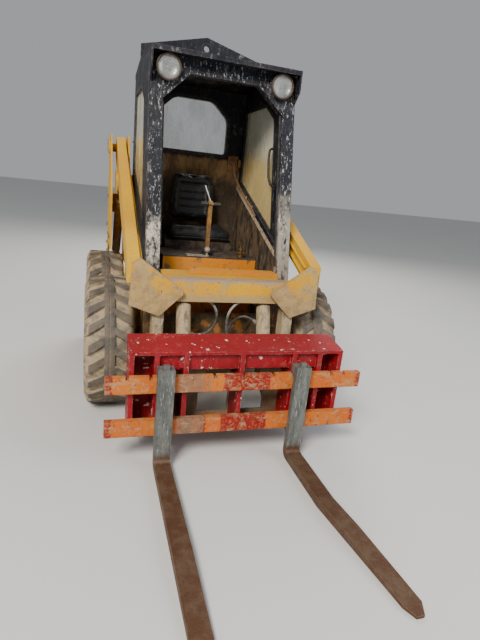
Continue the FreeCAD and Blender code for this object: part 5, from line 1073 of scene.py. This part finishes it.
# %% Hoses
def hose_rubber():
    f = Finish("hose_rubber", roughness=0.65)
    dust = f.window(f.noise(0.03, 6, 0.7, shift=3.0), 0.40, 0.62)
    top = f.window(f.axis(2), 0.635, 0.690)
    weave = f.noise(0.0035, 3, 0.6)
    colour = f.mix(dust, rgb(0.030, 0.029, 0.029), rgb(0.085, 0.078, 0.070))
    pale = f.math("MULTIPLY", top, f.window(f.noise(0.02, 5, 0.7, shift=4.0), 0.34, 0.5))
    return f.finish(f.mix(f.math("MULTIPLY", pale, 0.8), colour, rgb(0.30, 0.27, 0.23)), None, weave, 0.0008, 0.6)


hose_finish = hose_rubber()
barrel_steel = rusty_steel("fitting_steel", rgb(0.22, 0.20, 0.17), rgb(0.14, 0.09, 0.05), rgb(0.36, 0.33, 0.28), 9.0)


def hose(name, points, diameter):
    points = [at(*point) for point in points]
    data = bpy.data.curves.new(name, "CURVE")
    data.dimensions = "3D"
    line = data.splines.new("NURBS")
    line.points.add(len(points) - 1)
    for spot, point in zip(line.points, points):
        spot.co = (*point, 1)
    line.order_u, line.use_endpoint_u = 3, True
    line.resolution_u = 12
    data.bevel_depth, data.bevel_resolution = diameter / 2, 4
    data.use_fill_caps = True
    data.materials.append(hose_finish)
    piece = bpy.data.objects.new(name, data)
    bpy.context.scene.collection.objects.link(piece)
    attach(piece, "arms")
    # a steel ferrule and hexagon at each end
    ferrules = Shape()
    for here, there in ((points[0], points[1]), (points[-1], points[-2])):
        run = (there - here).normalized()
        ferrules.lathe(here - run * 0.006, run, [(0, 0.0075), (0.004, diameter * 0.78), (0.028, diameter * 0.76),
                                                 (0.032, diameter * 0.62)], 24)
        ferrules.lathe(here - run * 0.004, run, [(0, diameter * 0.95), (0.010, diameter * 0.95),
                                                 (0.012, diameter * 0.85)], 6)
    ends = ferrules.done(f"{name}_ferrules", barrel_steel, "arms", "bare_steel")
    return piece


hose("left_tilt_hose",
     [(-0.190, -0.830, 0.752), (-0.120, -0.828, 0.748), (-0.062, -0.822, 0.712), (-0.036, -0.815, 0.650),
      (-0.048, -0.812, 0.585), (-0.092, -0.815, 0.540), (-0.145, -0.825, 0.535), (-0.198, -0.838, 0.545)], 0.015)
hose("right_tilt_hose",
     [(0.175, -0.828, 0.752), (0.115, -0.830, 0.750), (0.055, -0.838, 0.722), (0.014, -0.850, 0.670),
      (0.006, -0.862, 0.595), (0.020, -0.876, 0.500), (0.030, -0.895, 0.415), (0.036, -0.870, 0.345),
      (0.042, -0.800, 0.330), (0.046, -0.748, 0.385), (0.048, -0.735, 0.480), (0.062, -0.750, 0.575),
      (0.105, -0.780, 0.632), (0.155, -0.808, 0.642), (0.198, -0.834, 0.612)], 0.015)
blocks = Shape()
for low, high in ((-0.222, -0.194), (0.179, 0.207)):
    blocks.block(at(low, -0.846, 0.738), at(high, -0.814, 0.768))
blocks.done("hose_blocks", beige_paint, "arms", "beige_paint", bevel=0.0015)
print("hoses:", 2)

# %% [markdown]
# The seat is two stuffed vinyl pads. Each starts as a closed form a little smaller than
# its solid in the frame, is remeshed evenly and blown up by Cloth with pressure, as
# stuffing does, with a cap on how far a point may move. Sewn channels come after that, as
# grooves worked out from the distance to each seam, and a welt runs round the lower edge.

# %% Stuffed pads
def pad_form(across, low, high, corner, levels):
    """Closed form from rounded outlines, each pulled in by an amount at a height."""
    shape = Shape()
    rings = []
    for pull, up in levels:
        corners = [Vector((-across + pull, low + pull, up)), Vector((across - pull, low + pull, up)),
                   Vector((across - pull, high - pull, up)), Vector((-across + pull, high - pull, up))]
        rings.append(rounded(corners, max(corner - pull * 0.5, 0.01)))
    shape.skin(rings)
    bmesh.ops.recalc_face_normals(shape.mesh, faces=shape.mesh.faces)
    mesh = bpy.data.meshes.new("pad_form")
    shape.mesh.to_mesh(mesh)
    shape.mesh.free()
    return mesh


def applied(thing):
    graph = bpy.context.evaluated_depsgraph_get()
    return bpy.data.meshes.new_from_object(thing.evaluated_get(graph))


def stuffed(name, form, cap, voxel=0.006, frames=20):
    """Remesh a closed form evenly, blow it up like a stuffed cover, and subdivide it once."""
    thing = bpy.data.objects.new(name, form)
    bpy.context.scene.collection.objects.link(thing)
    remesh = thing.modifiers.new("even_mesh", "REMESH")
    remesh.mode, remesh.voxel_size, remesh.use_smooth_shade = "VOXEL", voxel, True
    mesh = applied(thing)
    thing.modifiers.clear()
    thing.data = mesh
    start = [vertex.co.copy() for vertex in mesh.vertices]
    cloth = thing.modifiers.new("stuffing", "CLOTH")
    cloth.settings.use_pressure = True
    cloth.settings.uniform_pressure_force = 4
    cloth.settings.effector_weights.gravity = 0
    cloth.settings.quality = 5
    cloth.settings.mass = 0.3
    cloth.point_cache.frame_start, cloth.point_cache.frame_end = 1, frames
    for frame_number in range(1, frames + 1):
        bpy.context.scene.frame_set(frame_number)
    mesh = applied(thing)
    thing.modifiers.clear()
    for vertex, place in zip(mesh.vertices, start):
        move = vertex.co - place
        if move.length > cap:
            vertex.co = place + move.normalized() * cap
    thing.data = mesh
    smooth = thing.modifiers.new("one_subdivision", "SUBSURF")
    smooth.levels = smooth.render_levels = 1
    mesh = applied(thing)
    bpy.data.objects.remove(thing)
    return mesh


def bump(distance, width):
    """1 on a line and 0 from about two widths away."""
    return math.exp(-(distance / width) ** 2)


def rise_between(value, low, high):
    t = min(1.0, max(0.0, (value - low) / (high - low)))
    return t * t * (3 - 2 * t)


cushion_low, cushion_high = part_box("seat_cushion")
cushion_half = cushion_high[0]
swell = 0.009
form = pad_form(cushion_half - swell, cushion_low[1] + swell, cushion_high[1] - swell, 0.055,
                [(0.030, cushion_low[2] + 0.004), (0.008, cushion_low[2] + 0.010), (0.0, cushion_low[2] + 0.025),
                 (0.0, cushion_high[2] - 0.040), (0.010, cushion_high[2] - 0.018), (0.034, cushion_high[2] - 0.006)])
cushion_mesh = stuffed("stuffed_cushion", form, 0.014)
for vertex in cushion_mesh.vertices:
    x, y, z = vertex.co
    top = rise_between(z, cushion_high[2] - 0.045, cushion_high[2] - 0.015)
    inward = 1 - rise_between(abs(x), 0.125, 0.170)
    back_of_roll = rise_between(y, cushion_low[1] + 0.060, cushion_low[1] + 0.120)
    sunk = 0.016 * inward * back_of_roll
    seam = 0.006 * bump(abs(x) - 0.142, 0.005) * back_of_roll
    for place in (0.085, 0.165, 0.245, 0.325):
        seam += 0.006 * bump(y - cushion_low[1] - place, 0.005) * (1 - rise_between(abs(x), 0.130, 0.142))
    vertex.co.z = min(z - top * (sunk + seam), cushion_high[2] + 0.006)
    vertex.co.z = max(vertex.co.z, cushion_low[2] + 0.001)
    # a groove where the top cover is sewn to the side band
    vertex.co.x -= math.copysign(0.004, x) * bump(z - cushion_low[2] - 0.030, 0.004) * (abs(x) > 0.18)
    vertex.co.y += 0.004 * bump(z - cushion_low[2] - 0.030, 0.004) * (y < cushion_low[1] + 0.04)
cushion = piece_of(cushion_mesh, "stuffed_cushion", black_vinyl, "chassis", sharp=80)
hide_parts("seat_cushion")
print("cushion faces:", len(cushion_mesh.polygons))

# %% [markdown]
# The backrest has bolsters down both sides, three flat channels between them and a
# rounded top. It is made lying on its own axes, then leant back over the cushion.

# %% Backrest
back_low, back_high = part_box("seat_backrest")
back_lean = math.radians(10)
back_thick = 0.095
back_tall = (back_high[2] - (back_low[2] + math.sin(back_lean) * back_thick)) / math.cos(back_lean)
shape = Shape()
rings = []
for pull, depth in ((0.034, 0.012), (0.010, 0.018), (0.0, 0.030), (0.0, back_thick - 0.034),
                    (0.012, back_thick - 0.018), (0.036, back_thick - 0.012)):
    half_low, half_high = 0.178 - pull, 0.160 - pull
    outline = [Vector((-half_low, depth, 0.008 + pull)), Vector((half_low, depth, 0.008 + pull)),
               Vector((0.184 - pull, depth, 0.150)), Vector((half_high, depth, back_tall - 0.008 - pull)),
               Vector((-half_high, depth, back_tall - 0.008 - pull)), Vector((pull - 0.184, depth, 0.150))]
    rings.append(rounded(outline, 0.055))
shape.skin(rings)
bmesh.ops.recalc_face_normals(shape.mesh, faces=shape.mesh.faces)
form = bpy.data.meshes.new("backrest_form")
shape.mesh.to_mesh(form)
shape.mesh.free()
back_mesh = stuffed("stuffed_backrest", form, 0.014)
for vertex in back_mesh.vertices:
    x, y, z = vertex.co
    front = 1 - rise_between(y, 0.018, 0.045)
    inward = 1 - rise_between(abs(x), 0.088, 0.125)
    tall = rise_between(z, 0.03, 0.07) * (1 - rise_between(z, back_tall - 0.105, back_tall - 0.070))
    sunk = 0.015 * inward * tall
    seam = 0.006 * bump(abs(x) - 0.106, 0.005) * tall
    for place in (0.105, 0.160, 0.215, back_tall - 0.095):
        seam += 0.006 * bump(z - place, 0.0055) * (1 - rise_between(abs(x), 0.095, 0.106))
    vertex.co.y = min(max(y + front * (sunk + seam), -0.004), back_thick + 0.004)
    vertex.co.z = min(max(z, 0.0005), back_tall + 0.003)
lean = Matrix.Translation((0, back_low[1], back_low[2] + math.sin(back_lean) * back_thick))
back_mesh.transform(lean @ Matrix.Rotation(-back_lean, 4, "X"))
backrest = piece_of(back_mesh, "stuffed_backrest", black_vinyl, "chassis", sharp=80)
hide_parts("seat_backrest")
print("backrest faces:", len(back_mesh.polygons), "height:", round(back_tall, 3))
# %% [markdown]
# The panes sit in rubber channels. Each channel is one flat section that follows the
# window's outline, with its corners drawn as curves, so that it closes on itself.

# %% Window rubbers and the inside handle
rubbers = Shape()
side_outline = [(-0.357, 1.080), (0.460, 1.390), (0.460, 1.915), (0.017, 1.915), (-0.183, 1.813)]
for side in SIDES:
    corners = [at(side * 0.4215, along, up) for along, up in side_outline]
    rubbers.sweep(rounded(corners, 0.030), flat_section(0.020, 0.034), True, (1, 0, 0))
rear_outline = [(-0.284, 1.575), (0.284, 1.575), (0.284, 1.845), (0.150, 1.970), (-0.150, 1.970), (-0.284, 1.845)]
corners = [at(across, 0.522, up) for across, up in rear_outline]
rubbers.sweep(rounded(corners, 0.045), flat_section(0.024, 0.042), True, (0, 1, 0))
rubbers.done("window_rubbers", seal_rubber, "chassis", "tyre_rubber", sharp=50)
grip = Shape()
grip_line = [at(0.417, -0.214, 1.626), at(0.385, -0.218, 1.618), at(0.374, -0.240, 1.560),
             at(0.374, -0.276, 1.440), at(0.385, -0.296, 1.392), at(0.417, -0.300, 1.384)]
grip.sweep(rounded(grip_line, 0.014, False), round_section(0.0075), False, (1, 0, 0))
for along, up in ((-0.214, 1.626), (-0.300, 1.384)):
    grip.lathe(at(0.4178, along, up), (-1, 0, 0), [(0, 0.0150), (0.003, 0.0150), (0.006, 0.0110)], 24)
grip.done("window_handle", seal_rubber, "chassis", "tyre_rubber")
print("window rubbers:", 3)

# %% [markdown]
# The control lever is a square bar with rounded edges. A rubber hand grip is pushed on
# its cross tube, a bright thin rod leans out of its top, and a pleated boot closes the
# slot in the console. Beside it lie a worn grey plate, a ball knob and a small brass valve.

# %% Lever and console
lever_low, lever_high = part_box("control_lever")
bar, rod, boot, hand = Shape(), Shape(), Shape(), Shape()
bar.block(at(-0.0135, -0.2885, 0.912), at(0.0135, -0.2615, 1.256))
bar.rod(at(-0.060, -0.2885, 1.238), at(0.060, -0.2885, 1.238), 0.0095, 20)
lever_piece = bar.done("lever_bar", lever_paint, "chassis", "bare_steel", bevel=0.003)
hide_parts("control_lever")
rod.rod(at(0, -0.275, 1.250), at(-0.044, -0.275, 1.350), 0.0055, 14)
rod.done("lever_thin_rod", chrome_rod, "chassis", "bare_steel")
for side in SIDES:
    profile = [(0.016, 0.0105)]
    for k in range(7):
        profile += [(0.020 + k * 0.006, 0.0128), (0.023 + k * 0.006, 0.0118)]
    profile += [(0.0615, 0.0125), (0.0640, 0.0090)]
    hand.lathe(at(0, -0.2885, 1.238), (side, 0, 0), profile, 24)
hand.done("lever_grips", seal_rubber, "chassis", "tyre_rubber")
for k in range(5):
    boot.lathe(at(0, -0.275, 0.9125 + k * 0.009), (0, 0, 1),
               [(0, 0.040 - k * 0.005), (0.004, 0.044 - k * 0.005), (0.009, 0.036 - k * 0.005)], 28)
boot.done("lever_boot", seal_rubber, "chassis", "tyre_rubber")
fittings, brass = Shape(), Shape()
fittings.block(at(-0.150, -0.392, 0.9125), at(-0.035, -0.318, 0.9165))
for across in (-0.140, -0.045):
    for along in (-0.382, -0.328):
        fittings.lathe(at(across, along, 0.916), (0, 0, 1), [(0, 0.005), (0.003, 0.004)], 12)
fittings.lathe(at(-0.020, -0.370, 0.912), (0, 0, 1), [(0, 0.016), (0.006, 0.016), (0.010, 0.007), (0.024, 0.007)], 24)
ball = [(0.022 + 0.020 - 0.020 * math.cos(a), max(0.020 * math.sin(a), 0.0012))
        for a in (math.pi * k / 14 for k in range(15))]
fittings.lathe(at(-0.020, -0.370, 0.912), (0, 0, 1), ball, 28)
fittings.done("console_fittings", bare_steel, "chassis", "bare_steel", bevel=0.0008)
brass.lathe(at(0.215, -0.340, 0.912), (0, 0, 1), [(0, 0.020), (0.010, 0.020), (0.012, 0.013), (0.045, 0.013)], 24)
brass.lathe(at(0.215, -0.340, 0.957), (0, 0, 1), [(0, 0.017), (0.014, 0.017), (0.016, 0.014)], 6)
brass.rod(at(0.215, -0.340, 0.970), at(0.215, -0.300, 1.010), 0.005, 12)
brass.rod(at(0.180, -0.340, 0.940), at(0.250, -0.340, 0.940), 0.009, 16)


def brass_finish():
    f = Finish("old_brass", metallic=0.9)
    dull = f.window(f.noise(0.01, 5, 0.7), 0.4, 0.65)
    return f.finish(f.mix(dull, rgb(0.24, 0.155, 0.05), rgb(0.09, 0.06, 0.03)), f.math("ADD", dull, 0.3), dull, 0.0006, 0.4)


old_brass = brass_finish()
brass.done("console_valve", old_brass, "chassis", "bare_steel", bevel=0.0008)
print("lever from", [round(v, 3) for v in lever_low])

# %% [markdown]
# In the cab's rear corner an old bracket has rusted where the wiring comes through. A
# plate with a socket, and four cables that run down the wall and along the brace.

# %% Rusty bracket and cables
tan_rust = rusty_steel("tan_rust", rgb(0.36, 0.20, 0.09), rgb(0.20, 0.085, 0.03), rgb(0.46, 0.34, 0.22), 13.0)
bracket, cables = Shape(), Shape()
bracket.block(at(0.300, 0.486, 1.470), at(0.384, 0.503, 1.585))
bracket.block(at(0.372, 0.440, 1.500), at(0.391, 0.490, 1.560))
bracket.lathe(at(0.335, 0.488, 1.535), (0, -1, 0), [(0, 0.024), (0.012, 0.024), (0.014, 0.017), (0.026, 0.016)], 28)
for spot in ((0.312, 1.482), (0.312, 1.573), (0.372, 1.482)):
    bracket.lathe(at(spot[0], 0.487, spot[1]), (0, -1, 0), [(0, 0.0075), (0.005, 0.0075), (0.006, 0.006)], 6)
for along, up in ((0.215, 1.273), (0.060, 1.214)):
    # a clip holds the four cables against the wall
    bracket.block(at(0.377, along - 0.028, up - 0.006), at(0.391, along - 0.014, up + 0.022))
bracket.done("corner_bracket", tan_rust, "chassis", "bare_steel", bevel=0.0012)
for shift, sag in ((0.0, 0.0), (0.009, 0.006), (0.018, -0.004), (0.027, 0.010)):
    line = [at(0.335 + shift / 2, 0.470, 1.520), at(0.345 + shift / 2, 0.465, 1.460 - sag),
            at(0.380, 0.440 - shift, 1.370 + sag), at(0.384, 0.300 - shift, 1.305 - sag + shift / 3),
            at(0.384, 0.120 - shift, 1.238 + shift / 3), at(0.384, -0.060, 1.168 + shift / 3)]
    cables.sweep(rounded(line, 0.035, False), round_section(0.0036, 8))
cables.done("corner_cables", tan_rust, "chassis", "bare_steel")
post_strips = Shape()
for side, low, high in ((1, 0.915, 1.800), (-1, 1.000, 1.780)):
    lean = math.tan(math.radians(13.34))
    foot, head = [at(side * 0.3545, -0.680 + (up - 0.800) * lean + 0.030, up) for up in (low, high)]
    post_strips.sweep([foot, head], flat_section(0.012, 0.012), False, (1, 0, 0))
post_strips.done("door_edge_rubbers", seal_rubber, "chassis", "tyre_rubber", bevel=0.002)
print("cables:", 4)

# %% [markdown]
# Bolts hold the machine together. One tree sets a hexagon on a washer at every point of
# a list and turns it along the face's normal, which each point carries as an attribute.

# %% Bolts
def bolts(name, finish, body, places, radius=0.010):
    """Bolt heads at places; each is a point and the direction that its head faces."""
    mesh = bpy.data.meshes.new(name)
    mesh.from_pydata([place for place, aim in places], [], [])
    aims = mesh.attributes.new("aim", "FLOAT_VECTOR", "POINT")
    aims.data.foreach_set("vector", [part for place, aim in places for part in aim])
    recipe = Repeat(name)
    size = recipe.input("Radius", "Float", radius)
    half = recipe.node("ShaderNodeMath", settings=[("operation", "MULTIPLY")])
    recipe.tree.links.new(size, recipe.tree.nodes[-1].inputs[0])
    recipe.tree.nodes[-1].inputs[1].default_value = 0.6
    wide = recipe.node("ShaderNodeMath", settings=[("operation", "MULTIPLY")])
    recipe.tree.links.new(size, recipe.tree.nodes[-1].inputs[0])
    recipe.tree.nodes[-1].inputs[1].default_value = 1.35
    thin = recipe.node("ShaderNodeMath", settings=[("operation", "MULTIPLY")])
    recipe.tree.links.new(size, recipe.tree.nodes[-1].inputs[0])
    recipe.tree.nodes[-1].inputs[1].default_value = 0.34
    head = recipe.node("GeometryNodeMeshCylinder", Vertices=6, Radius=size, Depth=half)
    rise = recipe.node("ShaderNodeCombineXYZ", Z=half)
    head = recipe.node("GeometryNodeTransform", Geometry=head, Translation=rise)
    washer = recipe.node("GeometryNodeMeshCylinder", Vertices=16, Radius=wide, Depth=thin)
    both = recipe.node("GeometryNodeJoinGeometry")
    join = recipe.tree.nodes[-1]
    recipe.tree.links.new(head, join.inputs[0])
    recipe.tree.links.new(washer, join.inputs[0])
    aim = recipe.node("GeometryNodeInputNamedAttribute", settings=[("data_type", "FLOAT_VECTOR")], Name="aim")
    turn = recipe.node("FunctionNodeAlignRotationToVector", settings=[("axis", "Z")], Vector=aim)
    heads = recipe.node("GeometryNodeInstanceOnPoints", Points=recipe.start.outputs[0], Instance=both, Rotation=turn)
    made = recipe.run(mesh, heads, finish)
    return piece_of(made, name, finish, body)


front, back, down, up_way = (0, -1, 0), (0, 1, 0), (0, 0, -1), (0, 0, 1)
bolt_steel = rusty_steel("bolt_steel", rgb(0.20, 0.17, 0.13), rgb(0.14, 0.075, 0.035), rgb(0.34, 0.30, 0.25), 15.0)
bumper_bolts = [(at(x * side, 1.056, z), back) for side in SIDES for x in (0.24, 0.36) for z in (0.335, 0.415)]
bolts("bumper_bolts", bolt_steel, "chassis", bumper_bolts, 0.013)
hub_bolts = []
for side in SIDES:
    for axle in (-0.47, 0.47):
        for k in range(6):
            angle = math.pi * (k + 0.5) / 3
            hub_bolts.append((at(0.5215 * side, axle + 0.050 * math.cos(angle), 0.387 + 0.050 * math.sin(angle)),
                              (side, 0, 0)))
bolts("axle_housing_bolts", bolt_steel, "chassis", hub_bolts, 0.007)
tower_bolts = [(at(0.6005 * side, y, z), (side, 0, 0)) for side in SIDES
               for y, z in ((0.40, 0.90), (0.62, 0.90), (0.84, 0.80), (0.84, 0.95), (0.78, 1.18))]
bolts("tower_bolts", bolt_steel, "chassis", tower_bolts, 0.012)
roof_bolts = [(at(x, 0.1885, 2.135), front) for x in (-0.33, -0.18, 0.18, 0.33)]
bolts("lifting_plate_bolts", bolt_steel, "chassis", roof_bolts, 0.011)
post_bolts = [(at(0.4365 * side, y, z), (side, 0, 0)) for side in SIDES
              for y, z in ((-0.50, 0.90), (-0.20, 0.90), (0.12, 0.90), (0.44, 0.90), (0.505, 1.25), (0.505, 1.60))]
bolts("cab_side_bolts", bolt_steel, "chassis", post_bolts, 0.009)
step_bolts = [(at(x, -0.628, 0.8805), up_way) for x in (-0.15, 0.07, 0.29)]
bolts("step_bolts", bolt_steel, "chassis", step_bolts, 0.007)
print("bolt groups:", 6)

# %% [markdown]
# Pins show only their ends. The lift pivots and the lift cylinders' base pins have a round
# head with a keeper plate, one bolt and a grease nipple outside the towers, and the coupler's
# pins have plain round heads outside its ears.

# %% Pin ends
def pin_end(shape, centre, way, radius):
    out = Vector((way, 0, 0))
    shape.lathe(centre, out, [(0, radius), (0.006, radius), (0.009, radius - 0.003), (0.009, 0.010),
                              (0.007, 0.0095), (0.007, 0.0050), (0.013, 0.0045), (0.014, 0.0030),
                              (0.018, 0.0032), (0.020, 0.0018)], 36)
    keeper = [Vector(centre) + Vector((0, y, z)) for y, z in
              ((-0.016, radius - 0.004), (0.016, radius - 0.004), (0.016, radius + 0.030), (-0.016, radius + 0.030))]
    shape.plate(keeper, out * 0.005)
    shape.lathe(Vector(centre) + Vector((0, 0, radius + 0.018)) + out * 0.005, out, [(0, 0.0085), (0.006, 0.0085), (0.007, 0.007)], 6)


tower_pins, leg_pins = Shape(), Shape()
for side in SIDES:
    pin_end(tower_pins, at(0.6095 * side, 0.700, 1.550), side, 0.034)
    pin_end(tower_pins, at(0.6000 * side, 0.870, 0.680), side, 0.026)
    for x, way in ((0.380 + 0.032 + 0.006 + 0.014, 1), (0.380 - 0.032 - 0.006 - 0.014, -1)):
        leg_pins.lathe(at(x * side, -0.850, 0.230), (way * side, 0, 0),
                       [(0, 0.0260), (0.006, 0.0260), (0.009, 0.0220), (0.009, 0.0060), (0.014, 0.0040)], 32)
tower_pins.done("tower_pin_ends", bare_steel, "chassis", "bare_steel")
leg_pins.done("leg_pin_ends", bare_steel, "coupler", "bare_steel")
print("pin ends:", 8)

# %% [markdown]
# The photograph doesn't show the rear, so its small things are plain ones: a pull handle
# on the door and a round tail lamp on each corner post.

# %% Rear handle and tail lamps
def red_lens():
    f = Finish("tail_lens", roughness=0.25)
    ribs = f.cells(0.005)
    dust = f.window(f.noise(0.02, 5, 0.7), 0.45, 0.7)
    return f.finish(f.mix(f.math("MULTIPLY", dust, 0.4), rgb(0.20, 0.003, 0.003), rgb(0.20, 0.12, 0.08)),
                    None, ribs, 0.001, 0.5)


def pull_handle(name, first, last, out, body):
    """A round bar on two feet, standing out of a face."""
    shape = Shape()
    out = Vector(out)
    line = [first, first + out, last + out, last]
    shape.sweep(rounded(line, 0.014, False), round_section(0.007))
    for foot in (first, last):
        shape.lathe(foot, out, [(0, 0.017), (0.004, 0.017), (0.006, 0.012)], 24)
    shape.done(name, cast_metal, body, "cast_metal")


lamp_shells, tail_lenses = Shape(), Shape()
for side in SIDES:
    middle = at(0.425 * side, 1.000, 1.105)
    lamp_shells.lathe(middle, back, [(0, 0.034), (0.012, 0.034), (0.016, 0.031), (0.016, 0.027), (0.010, 0.026)], 36)
    tail_lenses.lathe(middle, back, [(0.009, 0.0262), (0.015, 0.0262), (0.019, 0.020), (0.021, 0.010), (0.0215, 0.001)], 36)
lamp_shells.done("tail_lamp_shells", seal_rubber, "chassis", "tyre_rubber")
tail_lenses.done("tail_lamp_lenses", red_lens(), "chassis", "lamp_shell")
pull_handle("door_pull", at(0.300, 1.030, 0.800), at(0.300, 1.030, 0.920), (0, 0.034, 0), "engine_door")
print("rear pieces:", 3)
